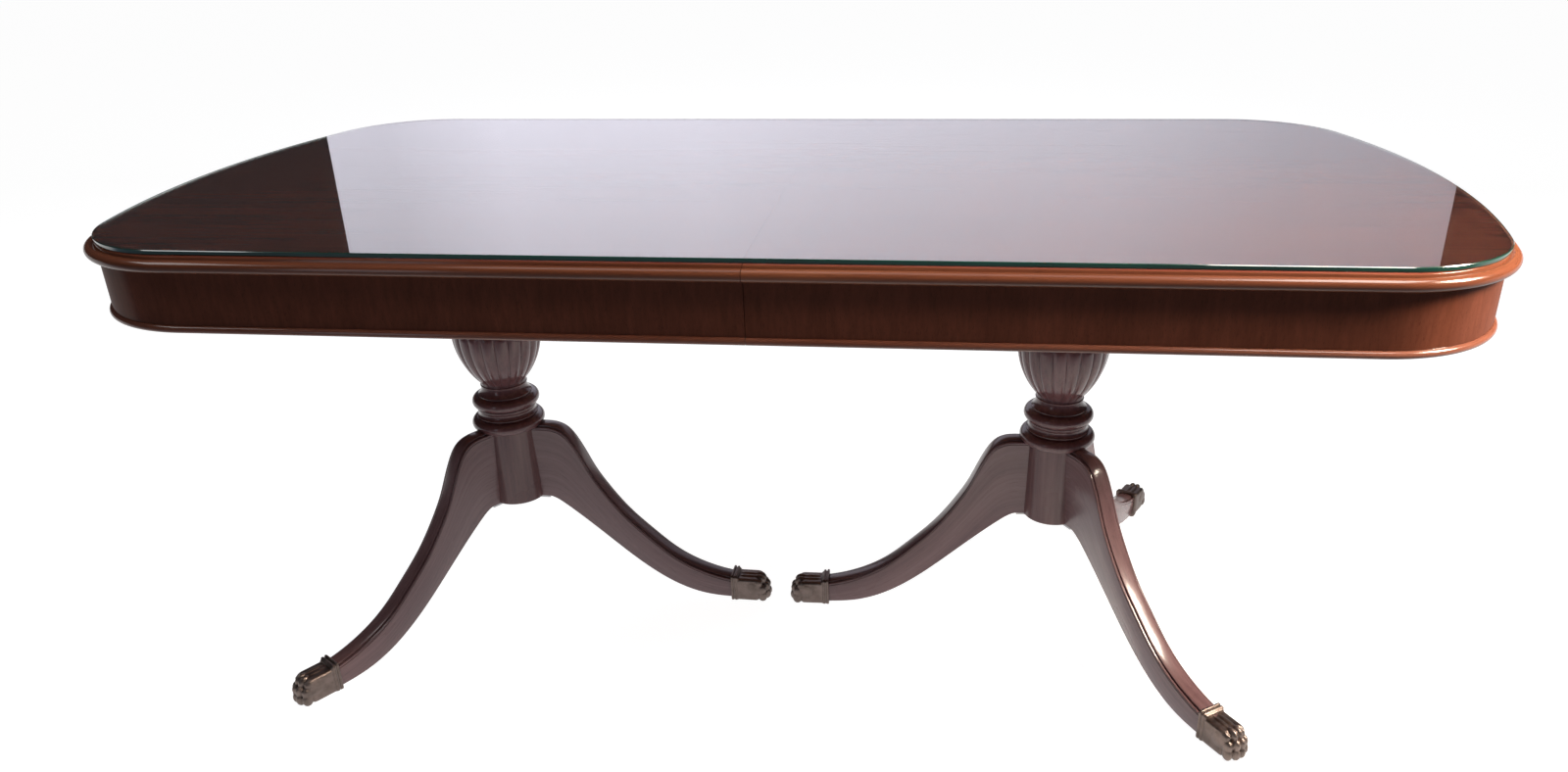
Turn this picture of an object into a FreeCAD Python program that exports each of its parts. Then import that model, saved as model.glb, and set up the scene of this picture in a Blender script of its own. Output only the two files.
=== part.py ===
"""Double pedestal extension dining table with a loose glass pane.

Millimetres, +Z up, +X along the table, -Y towards the front.  The origin lies on the floor under
the middle of the seam between the two half tables.  The left half stays put, the right half slides
away from it along +X, and every right-hand piece is the mirror image of a left-hand one, but for
the places of the two pedestals, which stand a little to the left of the middle of their halves.
"""
import FreeCAD, Part
import math
import os

V = FreeCAD.Vector
UP = V(0, 0, 1)
CENTRE = V(0, 0, 0)

# ---------------------------------------------------------------- driving dimensions

# plan of the table top, measured over its moulded edge
TOP_LENGTH = 1896.0
TOP_WIDTH = 956.0
END_BOW_RADIUS = 1320.0
CORNER_RADIUS = 190.0
TOP_HEIGHT = 760.0
PANEL_THICKNESS = 19.0
SEAM_GAP = 0.8

# moulded edge of the top
EDGE_DEPTH = 40.0
EDGE_QUIRK_DEPTH = 3.0
EDGE_QUIRK_INSET = 13.0
EDGE_BULGE = 7.0
EDGE_FOOT_HEIGHT = 3.0

# loose glass pane
GLASS_THICKNESS = 6.0
GLASS_INSET = 20.0
# the pane is a little longer than its inset says, at each end
GLASS_END_REACH = 9.0
GLASS_REST_GAP = 0.2

# apron and the bead under it
APRON_INSET = 14.0
APRON_THICKNESS = 20.0
APRON_HEIGHT = 70.0
BEAD_HEIGHT = 10.0
BEAD_PROJECTION = 4.5
BLOCK_DEPTH = 30.0
BLOCK_HEIGHT = 50.0
BLOCK_LENGTH = 70.0
# where glue blocks sit along the straight front and back, as shares of half its length
BLOCK_SHARES = (0.12, 0.5, 0.88)

# pedestals; each column stands this far from the seam
PEDESTAL_PLACES = {"left": 512.0, "right": 422.0}
DRUM_RADIUS = 48.0
DRUM_BOTTOM = 190.0
LOWER_TORUS_HEIGHT = 336.0
LOWER_TORUS_RADIUS = 60.8
UPPER_TORUS_HEIGHT = 375.0
UPPER_TORUS_RADIUS = 56.0
TORUS_HALF_HEIGHT = 10.5
SCOTIA_RADIUS = 46.5
FILLET_RADIUS = 51.0
FILLET_HEIGHT = 3.0
NECK_RADIUS = 37.0
NECK_HEIGHT = 406.0
NECK_FLARE = 2.0
URN_RADIUS = 73.0
URN_WIDEST_HEIGHT = 500.0
URN_TOP_HEIGHT = 512.0
URN_TOP_RADIUS = 67.0
# where the urn's side passes on its way up: shares of its swelling and of its rise
URN_SWELLING = 0.72
URN_RISE = 0.45
CAP_RADIUS = 76.0
CAP_HEIGHT = 12.0
SHAFT_RADIUS = 46.0
SHAFT_START_HEIGHT = 560.0
COVE_FULLNESS = 4.0
TENON_RADIUS = 25.0
REED_COUNT = 20
REED_GROOVE_WIDTH = 2.4
REED_GROOVE_DEPTH = 3.0
REED_START = 4.0

# legs
LEG_ANGLES = {"inner": -1.5, "front": -124.0, "back": 118.5}
LEG_REACH = 420.0
LEG_THICKNESS = 34.0
TONGUE_WIDTH = 12.0
TONGUE_DEPTH = 14.0
TONGUE_SHORTER = 12.0
# each step of the moulded upper edge: how far in from the side, how far below the crown
LEG_CROWN_STEPS = ((0.0, 4.5), (3.5, 1.5), (7.5, 0.0))
LEG_CROWN_LEAN = 0.6
# the sabre curve: radial share from drum to leg end, height as a share of its first height
LEG_BACK_CURVE = ((0.085, 1.0), (0.127, 0.988), (0.16, 0.955), (0.182, 0.916), (0.208, 0.856), (0.25, 0.75),
                  (0.305, 0.645), (0.405, 0.494), (0.503, 0.383), (0.624, 0.264), (0.772, 0.178),
                  (0.903, 0.141), (1.0, 0.132))
LEG_BELLY_CURVE = ((0.035, 1.0), (0.1, 0.93), (0.169, 0.824), (0.32, 0.574), (0.476, 0.321),
                   (0.634, 0.13), (0.763, 0.048), (0.903, 0.027), (1.0, 0.026))
LEG_BACK_END_FALL = 0.05
LEG_BELLY_START_FALL = 0.2

# cast lion-paw sabots
SABOT_START = 380.0
SABOT_END = 450.0
SABOT_WALL = 3.0
SABOT_HEIGHT = 50.0
COLLAR_LENGTH = 12.0
COLLAR_RISE = 2.5
TOE_COUNT = 4
TOE_RADIUS = 8.5
TOE_SPREAD = 34.0
TOE_LENGTH = 26.0
TOE_RISE = 10.0
KNUCKLE_RADIUS = 9.35
# profile from the sole's end over the instep: share of the toes' length past their start, share of height
INSTEP_PLACES = ((0.6, 0.0), (0.75, 0.4), (0.3, 0.8), (-0.4, 0.93))
KNUCKLE_PLACE = (0.25, 0.55)
SABOT_SCREW_SET_BACK = 16.0

# what holds each pedestal to its half top
BEARER_LENGTH = 400.0
BEARER_WIDTH = 55.0
BEARER_HEIGHT = 25.0
BEARER_SPACING = 180.0
HEAD_SIZE = 240.0
HEAD_THICKNESS = 28.0
HEAD_SCREW_INSET = 40.0
BEARER_SCREW_INSET = 30.0
SPIDER_THICKNESS = 3.0
SPIDER_RADIUS = 40.0
SPIDER_ARM_WIDTH = 18.0
# the arms end this much before a leg's belly falls away from the drum's bottom
SPIDER_ARM_SHORTER = 1.0
SPIDER_SCREW_RADIUS = 26.0

# extension slides: three nested rails at the front and at the back
RAIL_LENGTH = 1100.0
RAIL_WIDTH = 28.0
RAIL_HEIGHT = 42.0
RAIL_FIRST_SIDE = 215.0
RAIL_STAGGER = 50.0
RAIL_TONGUE_DEPTH = 8.0
RAIL_TONGUE_HEIGHT = 12.0
RAIL_SCREW_PLACES = (60.0, 300.0)
RAIL_SCREW_INSET = 40.0
RUNNING_GAP = 0.3

# table locks and seam dowels
LOCK_SIDE = 120.0
LOCK_PLATE_LENGTH = 50.0
LOCK_PLATE_WIDTH = 34.0
LOCK_PLATE_THICKNESS = 3.0
LOCK_PIVOT_X = -37.0
LOCK_PIN_RADIUS = 4.0
LOCK_PIN_HEAD_RADIUS = 7.2
LOCK_PIN_HEAD_HEIGHT = 2.0
LOCK_PIN_GAP = 0.1
LOCK_BOSS_RADIUS = 14.0
LOCK_LEVER_THICKNESS = 5.0
LOCK_ARM_WIDTH = 8.0
LOCK_HANDLE_LENGTH = 62.0
KEEPER_POST_X = 22.0
KEEPER_POST_RADIUS = 3.5
DOWEL_RADIUS = 4.5
DOWEL_LENGTH = 38.0
DOWEL_PROJECTION = 14.0
DOWEL_SIDES = (-300.0, 0.0, 300.0)

# wood screws
SCREW_RADIUS = 2.2
SCREW_HEAD_RADIUS = 4.2
SCREW_HEAD_HEIGHT = 2.5
SCREW_BITE = 11.0
DRUM_SCREW_BITE = 22.0
SCREW_TIP_COVER = 5.0
FIT_GAP = 0.1
# how far a cutting body runs past what it cuts
CUT_MARGIN = 10.0

# ---------------------------------------------------------------- derived places

half_length = TOP_LENGTH / 2
half_width = TOP_WIDTH / 2
seam_x = SEAM_GAP / 2
bow_centre_x = half_length - END_BOW_RADIUS
corner_centre_y = half_width - CORNER_RADIUS
corner_centre_x = bow_centre_x + math.sqrt((END_BOW_RADIUS - CORNER_RADIUS) ** 2 - corner_centre_y ** 2)
bow_angle = math.degrees(math.atan2(corner_centre_y, corner_centre_x - bow_centre_x))
panel_bottom = TOP_HEIGHT - PANEL_THICKNESS
apron_bottom = panel_bottom - APRON_HEIGHT
bead_bottom = apron_bottom - BEAD_HEIGHT
bearer_bottom = panel_bottom - BEARER_HEIGHT
head_bottom = bearer_bottom - HEAD_THICKNESS
leg_top = LOWER_TORUS_HEIGHT - TORUS_HALF_HEIGHT
leg_run = LEG_REACH - DRUM_RADIUS
spider_reach = DRUM_RADIUS + LEG_BELLY_CURVE[0][0] * leg_run - SPIDER_ARM_SHORTER
rail_top = panel_bottom - RUNNING_GAP
rail_bottom = rail_top - RAIL_HEIGHT
rail_pitch = RAIL_WIDTH + RUNNING_GAP


# ---------------------------------------------------------------- helpers

def box(low, high):
    """A box between two corners."""
    size = V(*high) - V(*low)
    return Part.makeBox(size.x, size.y, size.z, V(*low))


def post(x, y, z, radius, height):
    """An upright round bar standing on z."""
    return Part.makeCylinder(radius, height, V(x, y, z))


def section(steps, reach=0.0):
    """Face in the XZ plane; a pair is a straight step, four numbers are an arc via and to."""
    here = V(reach + steps[0][0], 0, steps[0][1])
    first = here
    edges = []
    for step in steps[1:]:
        end = V(reach + step[-2], 0, step[-1])
        if len(step) == 4:
            middle = V(reach + step[0], 0, step[1])
            edges.append(Part.Arc(here, middle, end).toShape())
        elif end != here:
            edges.append(Part.makeLine(here, end))
        here = end
    edges.append(Part.makeLine(here, first))
    return Part.Face(Part.Wire(edges))


def turned(steps):
    """A turned piece about the upright axis."""
    return section(steps).revolve(CENTRE, UP, 360)


def arc_run(steps, radius, centre, start, sweep):
    """A section, given outward from the table's outline, swept round part of that outline."""
    solid = section(steps, radius).revolve(CENTRE, UP, sweep)
    solid.rotate(CENTRE, UP, start)
    solid.translate(V(centre[0], centre[1], 0))
    return solid


def straight_run(steps, side, x_from, x_to):
    """The same section along the straight front (side -1) or back (side +1) of the table."""
    solid = section(steps, half_width).extrude(V(0, 1, 0) * (x_to - x_from))
    solid.rotate(CENTRE, UP, 90)
    solid.translate(V(x_to, 0, 0))
    if side < 0:
        solid = solid.mirror(CENTRE, V(0, 1, 0))
    return solid


def right_end_run(steps):
    """The section round both corners and the bowed end of the right half."""
    corner_sweep = 90 - bow_angle
    bow = arc_run(steps, END_BOW_RADIUS, (bow_centre_x, 0), -bow_angle, 2 * bow_angle)
    back = arc_run(steps, CORNER_RADIUS, (corner_centre_x, corner_centre_y), bow_angle, corner_sweep)
    front = back.mirror(CENTRE, V(0, 1, 0))
    return bow.fuse([back, front]).removeSplitter()


def left_of(solid):
    """Mirror image across the seam."""
    return solid.mirror(CENTRE, V(1, 0, 0))


def around(centre, radius, angle):
    """The point at an angle on a level circle."""
    turn = math.radians(angle)
    return centre + V(radius * math.cos(turn), radius * math.sin(turn), 0)


def plan(inset, bottom, top, end_reach=0.0):
    """Plate with the whole table's outline, drawn in by inset, its ends then moved out by end_reach."""
    width = half_width - inset
    flat = V(corner_centre_x + end_reach, width, bottom)
    bow_centre = V(bow_centre_x + end_reach, 0, bottom)
    corner_centre = V(corner_centre_x + end_reach, corner_centre_y, bottom)
    bend = around(corner_centre, CORNER_RADIUS - inset, (90 + bow_angle) / 2)
    meet = around(bow_centre, END_BOW_RADIUS - inset, bow_angle)
    swell = around(bow_centre, END_BOW_RADIUS - inset, bow_angle / 2)
    tip = around(bow_centre, END_BOW_RADIUS - inset, 0)
    quarter = [
        Part.makeLine(V(0, width, bottom), flat),
        Part.Arc(flat, bend, meet).toShape(),
        Part.Arc(meet, swell, tip).toShape(),
    ]
    back = quarter + [edge.mirror(CENTRE, V(1, 0, 0)) for edge in quarter]
    whole = back + [edge.mirror(CENTRE, V(0, 1, 0)) for edge in back]
    wire = Part.Wire(Part.__sortEdges__(whole))
    return Part.Face(wire).extrude(UP * (top - bottom)).removeSplitter()


def screw(x, y, head_z, tip_z):
    """A wood screw driven upwards, its head let in flush at head_z."""
    head = post(x, y, head_z, SCREW_HEAD_RADIUS, SCREW_HEAD_HEIGHT)
    shank = post(x, y, head_z, SCREW_RADIUS, tip_z - head_z)
    return head.fuse(shank).removeSplitter()


def screw_hole(x, y, head_z, tip_z):
    """The bored hole with its let-in head that such a screw sits in."""
    head = post(x, y, head_z, SCREW_HEAD_RADIUS + FIT_GAP, SCREW_HEAD_HEIGHT + FIT_GAP)
    shank = post(x, y, head_z, SCREW_RADIUS + FIT_GAP, tip_z + FIT_GAP - head_z)
    return head.fuse(shank)


def save(name, shape):
    """Write one node."""
    shape.exportStep("parts/" + name + ".step")
    print(name, len(shape.Solids), "solids", shape.isValid())


# ---------------------------------------------------------------- sections of the top's rim

quirk_top = TOP_HEIGHT - EDGE_QUIRK_DEPTH
edge_foot_top = panel_bottom + EDGE_FOOT_HEIGHT
edge_steps = (
    (-EDGE_DEPTH, panel_bottom),
    (-EDGE_BULGE, panel_bottom),
    (-EDGE_BULGE, edge_foot_top),
    (0, (edge_foot_top + quirk_top) / 2, -EDGE_BULGE, quirk_top),
    (-EDGE_QUIRK_INSET, quirk_top),
    (-EDGE_QUIRK_INSET, TOP_HEIGHT),
    (-EDGE_DEPTH, TOP_HEIGHT),
)
apron_inside = -APRON_INSET - APRON_THICKNESS
apron_steps = (
    (apron_inside, apron_bottom),
    (-APRON_INSET, apron_bottom),
    (-APRON_INSET, panel_bottom),
    (apron_inside, panel_bottom),
)
bead_steps = (
    (apron_inside, bead_bottom),
    (-APRON_INSET, bead_bottom),
    (BEAD_PROJECTION - APRON_INSET, (bead_bottom + apron_bottom) / 2, -APRON_INSET, apron_bottom),
    (apron_inside, apron_bottom),
)
block_steps = (
    (apron_inside - BLOCK_DEPTH, panel_bottom - BLOCK_HEIGHT),
    (apron_inside, panel_bottom - BLOCK_HEIGHT),
    (apron_inside, panel_bottom),
    (apron_inside - BLOCK_DEPTH, panel_bottom),
)


# ---------------------------------------------------------------- where the screws go

# a screw's place is x, y, head height, tip height; those of a pedestal count from its column's axis

def pedestal_screw_places():
    """Screws through the pedestal's head into the bearers, and through the bearers into the panel."""
    head_y = HEAD_SIZE / 2 - HEAD_SCREW_INSET
    bearer_y = BEARER_LENGTH / 2 - BEARER_SCREW_INSET
    places = []
    for along in (-1, 1):
        x = along * BEARER_SPACING / 2
        for side in (-1, 1):
            places.append((x, side * head_y, head_bottom, panel_bottom - SCREW_TIP_COVER))
            places.append((x, side * bearer_y, bearer_bottom, panel_bottom + SCREW_BITE))
    return places


def spider_screw_places():
    """Screws up through the spider plate into the drum, between the legs."""
    places = []
    for angle in LEG_ANGLES.values():
        spot = around(CENTRE, SPIDER_SCREW_RADIUS, angle + 60)
        places.append((spot.x, spot.y, DRUM_BOTTOM - SPIDER_THICKNESS, DRUM_BOTTOM + DRUM_SCREW_BITE))
    return places


def sabot_screw_place(angle):
    """Screw up through the sole of a sabot into the leg's end."""
    spot = around(CENTRE, LEG_REACH - SABOT_SCREW_SET_BACK, angle)
    return (spot.x, spot.y, 0.0, SABOT_HEIGHT / 2)


def rail_screw_places(index):
    """Screws through the rail that its own half carries; index 0 is the left rail, 2 the right one."""
    facing = -1 if index == 0 else 1
    side_y = RAIL_FIRST_SIDE + index * rail_pitch + RAIL_WIDTH / 2
    places = []
    for x in RAIL_SCREW_PLACES + (RAIL_LENGTH / 2 + RAIL_STAGGER - RAIL_SCREW_INSET,):
        for side in (-1, 1):
            places.append((facing * x, side * side_y, rail_bottom, panel_bottom + SCREW_BITE))
    return places


def moved_by(places, x):
    """The same screws, further along X."""
    return [(place[0] + x,) + place[1:] for place in places]


def screws(places):
    """A group of screws."""
    return Part.makeCompound([screw(*place) for place in places])


def drilled(solid, places):
    """The piece with a hole for each of those screws."""
    return solid.cut([screw_hole(*place) for place in places])


# ---------------------------------------------------------------- the top of one half, drawn on the left

def top_panel():
    """Veneered panel of the left half, up to the seam, without its holes."""
    keep = box((-half_length - CUT_MARGIN, -half_width - CUT_MARGIN, panel_bottom - CUT_MARGIN),
               (-seam_x, half_width + CUT_MARGIN, TOP_HEIGHT + CUT_MARGIN))
    return plan(EDGE_DEPTH, panel_bottom, TOP_HEIGHT).common(keep)


def side_run(steps, side):
    """Straight part of a rim piece on the left half."""
    return straight_run(steps, side, -corner_centre_x, -seam_x)


def apron_blocks():
    """Glue blocks in the angle between apron and top."""
    blocks = []
    for side in (-1, 1):
        for share in BLOCK_SHARES:
            start = -corner_centre_x * share - BLOCK_LENGTH / 2
            blocks.append(straight_run(block_steps, side, start, start + BLOCK_LENGTH))
    corner_sweep = math.degrees(BLOCK_LENGTH / (CORNER_RADIUS + apron_inside))
    corner_middle = (90 + bow_angle) / 2
    corner = arc_run(block_steps, CORNER_RADIUS, (corner_centre_x, corner_centre_y),
                     corner_middle - corner_sweep / 2, corner_sweep)
    bow_sweep = math.degrees(BLOCK_LENGTH / (END_BOW_RADIUS + apron_inside))
    bow = arc_run(block_steps, END_BOW_RADIUS, (bow_centre_x, 0), -bow_sweep / 2, bow_sweep)
    rounded = [corner, corner.mirror(CENTRE, V(0, 1, 0)), bow]
    return Part.makeCompound(blocks + [left_of(block) for block in rounded])


# ---------------------------------------------------------------- one pedestal, about its column's axis

def bearers():
    """Two cross bearers screwed under the panel, over the pedestal."""
    pair = []
    for along in (-1, 1):
        x = along * BEARER_SPACING / 2
        bearer = box((x - BEARER_WIDTH / 2, -BEARER_LENGTH / 2, bearer_bottom),
                     (x + BEARER_WIDTH / 2, BEARER_LENGTH / 2, panel_bottom))
        pair.append(drilled(bearer, pedestal_screw_places()))
    return Part.makeCompound(pair)


def pedestal_head():
    """Square block that takes the column's tenon."""
    half = HEAD_SIZE / 2
    block = box((-half, -half, head_bottom), (half, half, bearer_bottom))
    mortise = post(0, 0, head_bottom, TENON_RADIUS + FIT_GAP, HEAD_THICKNESS)
    return drilled(block.cut(mortise), pedestal_screw_places())


def urn_arc_points():
    """Foot, middle and widest point of the urn's bowl."""
    foot = (NECK_RADIUS, NECK_HEIGHT + FILLET_HEIGHT)
    widest = (URN_RADIUS, URN_WIDEST_HEIGHT)
    middle = (foot[0] + (widest[0] - foot[0]) * URN_SWELLING, foot[1] + (widest[1] - foot[1]) * URN_RISE)
    return foot, middle, widest


def reed_grooves():
    """The grooves that part the urn's reeds."""
    foot, middle, widest = urn_arc_points()
    inner = REED_GROOVE_DEPTH
    outer = 4 * REED_GROOVE_DEPTH
    fin = section((
        (foot[0] - inner, foot[1] + REED_START),
        (middle[0] - inner, middle[1] + REED_START / 2, widest[0] - inner, widest[1]),
        (widest[0] + outer, widest[1]),
        (middle[0] + outer, middle[1], foot[0] + outer, foot[1] + REED_START),
    ))
    fin.translate(V(0, -REED_GROOVE_WIDTH / 2, 0))
    fin = fin.extrude(V(0, REED_GROOVE_WIDTH, 0))
    grooves = []
    for index in range(REED_COUNT):
        groove = fin.copy()
        groove.rotate(CENTRE, UP, 360.0 * (index + 0.5) / REED_COUNT)
        grooves.append(groove)
    return grooves


def tongue(angle, clearance):
    """The upright tongue on a leg's root, or the slot for it when given a clearance."""
    half = TONGUE_WIDTH / 2 + clearance
    top = leg_top - TONGUE_SHORTER + clearance
    bar = box((DRUM_RADIUS - TONGUE_DEPTH - clearance, -half, DRUM_BOTTOM),
              (DRUM_RADIUS + TONGUE_DEPTH / 2, half, top))
    bar.rotate(CENTRE, UP, angle)
    return bar


def column():
    """Turned column: drum, two tori with a scotia, reeded urn, cap, shaft and tenon."""
    foot, middle, widest = urn_arc_points()
    lower = LOWER_TORUS_HEIGHT
    upper = UPPER_TORUS_HEIGHT
    half = TORUS_HALF_HEIGHT
    lower_core = LOWER_TORUS_RADIUS - half
    upper_core = UPPER_TORUS_RADIUS - half
    scotia_low = lower + half + FILLET_HEIGHT
    scotia_high = upper - half - FILLET_HEIGHT
    rim = (URN_RADIUS + URN_TOP_RADIUS) / 2 + NECK_FLARE, (URN_WIDEST_HEIGHT + URN_TOP_HEIGHT) / 2
    cap_core = CAP_RADIUS - CAP_HEIGHT / 2
    cap_top = URN_TOP_HEIGHT + CAP_HEIGHT
    steps = (
        (0, DRUM_BOTTOM),
        (DRUM_RADIUS, DRUM_BOTTOM),
        (DRUM_RADIUS, lower - half),
        (lower_core, lower - half),
        (LOWER_TORUS_RADIUS, lower, lower_core, lower + half),
        (FILLET_RADIUS, lower + half),
        (FILLET_RADIUS, scotia_low),
        (SCOTIA_RADIUS, (scotia_low + scotia_high) / 2, FILLET_RADIUS, scotia_high),
        (FILLET_RADIUS, upper - half),
        (upper_core, upper - half),
        (UPPER_TORUS_RADIUS, upper, upper_core, upper + half),
        (upper_core, upper + half + FILLET_HEIGHT),
        (NECK_RADIUS + NECK_FLARE, upper + half + FILLET_HEIGHT * 2, NECK_RADIUS, NECK_HEIGHT),
        foot,
        (middle[0], middle[1], widest[0], widest[1]),
        (rim[0], rim[1], URN_TOP_RADIUS, URN_TOP_HEIGHT),
        (cap_core, URN_TOP_HEIGHT),
        (CAP_RADIUS, URN_TOP_HEIGHT + CAP_HEIGHT / 2, cap_core, cap_top),
        (SHAFT_RADIUS + COVE_FULLNESS, (cap_top + SHAFT_START_HEIGHT) / 2, SHAFT_RADIUS, SHAFT_START_HEIGHT),
        (SHAFT_RADIUS, head_bottom),
        (TENON_RADIUS, head_bottom),
        (TENON_RADIUS, bearer_bottom),
        (0, bearer_bottom),
    )
    wood = turned(steps).cut(reed_grooves())
    wood = wood.cut([tongue(angle, FIT_GAP) for angle in LEG_ANGLES.values()])
    return drilled(wood, spider_screw_places())


def sabre_face(drop):
    """Side face of a leg with its upper edge lowered by drop, in the XZ plane, axis of the drum at x 0."""
    back = [V(DRUM_RADIUS + share * leg_run - drop * LEG_CROWN_LEAN, 0, height * leg_top - drop)
            for share, height in LEG_BACK_CURVE]
    belly = [V(DRUM_RADIUS + share * leg_run, 0, height * DRUM_BOTTOM)
             for share, height in LEG_BELLY_CURVE]
    level = V(1, 0, 0)
    upper = Part.BSplineCurve()
    upper.interpolate(Points=back, InitialTangent=level, FinalTangent=V(1, 0, -LEG_BACK_END_FALL))
    lower = Part.BSplineCurve()
    lower.interpolate(Points=belly, InitialTangent=V(1, 0, -LEG_BELLY_START_FALL), FinalTangent=level)
    root_top = V(DRUM_RADIUS - TONGUE_DEPTH / 2, 0, back[0].z)
    root_bottom = V(DRUM_RADIUS - TONGUE_DEPTH / 2, 0, DRUM_BOTTOM)
    edges = [
        Part.makeLine(root_top, back[0]),
        upper.toShape(),
        Part.makeLine(back[-1], belly[-1]),
        lower.toShape(),
        Part.makeLine(belly[0], root_bottom),
        Part.makeLine(root_bottom, root_top),
    ]
    return Part.Face(Part.Wire(Part.__sortEdges__(edges)))


def leg_blank():
    """A sabre leg pointing along +X."""
    layers = []
    for inset, drop in LEG_CROWN_STEPS:
        half = LEG_THICKNESS / 2 - inset
        face = sabre_face(drop)
        face.translate(V(0, -half, 0))
        layers.append(face.extrude(V(0, 2 * half, 0)))
    return layers[0].fuse(layers[1:])


def leg(angle):
    """A leg in its place, hollowed to the drum, with its tongue."""
    blank = leg_blank().cut(post(0, 0, 0, DRUM_RADIUS, TOP_HEIGHT))
    blank = max(blank.Solids, key=lambda piece: piece.Volume)
    blank.rotate(CENTRE, UP, angle)
    return blank.fuse(tongue(angle, 0)).removeSplitter()


def sabot_body():
    """Cast socket with its collar and the four toes, pointing along +X from the column's axis."""
    half = LEG_THICKNESS / 2 + SABOT_WALL
    toe_start = SABOT_END - TOE_LENGTH
    places = [(toe_start + TOE_LENGTH * along, SABOT_HEIGHT * up) for along, up in INSTEP_PLACES]
    sole_end, front, brow, instep = places
    shell_side = section(((SABOT_START, 0), sole_end, front + brow, instep + (SABOT_START, SABOT_HEIGHT)))
    shell_side.translate(V(0, -half, 0))
    shell = shell_side.extrude(V(0, 2 * half, 0))
    collar = box((SABOT_START, -half - COLLAR_RISE, 0),
                 (SABOT_START + COLLAR_LENGTH, half + COLLAR_RISE, SABOT_HEIGHT + COLLAR_RISE))
    knuckle_x = toe_start + TOE_LENGTH * KNUCKLE_PLACE[0]
    tip_x = SABOT_END - TOE_RADIUS
    toes = []
    for index in range(TOE_COUNT):
        y = TOE_SPREAD * (index / (TOE_COUNT - 1) - 0.5)
        toes.append(Part.makeSphere(KNUCKLE_RADIUS, V(knuckle_x, y, SABOT_HEIGHT * KNUCKLE_PLACE[1])))
        toes.append(Part.makeSphere(TOE_RADIUS, V(tip_x, y, TOE_RADIUS)))
        toes.append(post(tip_x, y, TOE_RADIUS, TOE_RADIUS, TOE_RISE))
        toes.append(Part.makeSphere(TOE_RADIUS, V(tip_x, y, TOE_RADIUS + TOE_RISE)))
    return shell.fuse([collar] + toes)


def sabot(angle, leg_solid):
    """A sabot in its place, hollowed to the leg's end."""
    body = sabot_body()
    body.rotate(CENTRE, UP, angle)
    hollow = body.cut(leg_solid)
    hollow = max(hollow.Solids, key=lambda piece: piece.Volume)
    return drilled(hollow, [sabot_screw_place(angle)])


def spider_plate():
    """Steel plate under the drum with an arm below each leg's root."""
    bottom = DRUM_BOTTOM - SPIDER_THICKNESS
    plate = post(0, 0, bottom, SPIDER_RADIUS, SPIDER_THICKNESS)
    for angle in LEG_ANGLES.values():
        arm = box((0, -SPIDER_ARM_WIDTH / 2, bottom),
                  (spider_reach, SPIDER_ARM_WIDTH / 2, DRUM_BOTTOM))
        arm.rotate(CENTRE, UP, angle)
        plate = plate.fuse(arm)
    return drilled(plate.removeSplitter(), spider_screw_places())


# ---------------------------------------------------------------- pieces between the halves

def rail(index, side):
    """One of three nested rails: 0 on the left half, 1 in the middle, 2 on the right half."""
    near = RAIL_FIRST_SIDE + index * rail_pitch
    middle_x = (index - 1) * RAIL_STAGGER
    middle_z = (rail_top + rail_bottom) / 2
    x_from = middle_x - RAIL_LENGTH / 2
    x_to = middle_x + RAIL_LENGTH / 2
    bar = box((x_from, near, rail_bottom), (x_to, near + RAIL_WIDTH, rail_top))
    tongue_half = RAIL_TONGUE_HEIGHT / 2
    groove_half = tongue_half + RUNNING_GAP
    if index < 2:
        far = near + RAIL_WIDTH
        bar = bar.fuse(box((x_from, far, middle_z - tongue_half),
                           (x_to, far + RAIL_TONGUE_DEPTH, middle_z + tongue_half)))
    if index > 0:
        bar = bar.cut(box((x_from - CUT_MARGIN, near - CUT_MARGIN, middle_z - groove_half),
                          (x_to + CUT_MARGIN, near + RAIL_TONGUE_DEPTH, middle_z + groove_half)))
    if side < 0:
        bar = bar.mirror(CENTRE, V(0, 1, 0))
    if index == 1:
        return bar.removeSplitter()
    return drilled(bar.removeSplitter(), rail_screw_places(index))


def lock_plate(y):
    """Plate under the left panel with the lever's headed pivot pin."""
    top = panel_bottom
    bottom = top - LOCK_PLATE_THICKNESS
    plate = box((LOCK_PIVOT_X - LOCK_PLATE_LENGTH / 2, y - LOCK_PLATE_WIDTH / 2, bottom),
                (LOCK_PIVOT_X + LOCK_PLATE_LENGTH / 2, y + LOCK_PLATE_WIDTH / 2, top))
    drop = LOCK_LEVER_THICKNESS + 2 * RUNNING_GAP
    pin = post(LOCK_PIVOT_X, y, bottom - drop, LOCK_PIN_RADIUS, drop)
    head_z = bottom - drop - LOCK_PIN_HEAD_HEIGHT
    head = post(LOCK_PIVOT_X, y, head_z, LOCK_PIN_HEAD_RADIUS, LOCK_PIN_HEAD_HEIGHT)
    return plate.fuse([pin, head])


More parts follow.
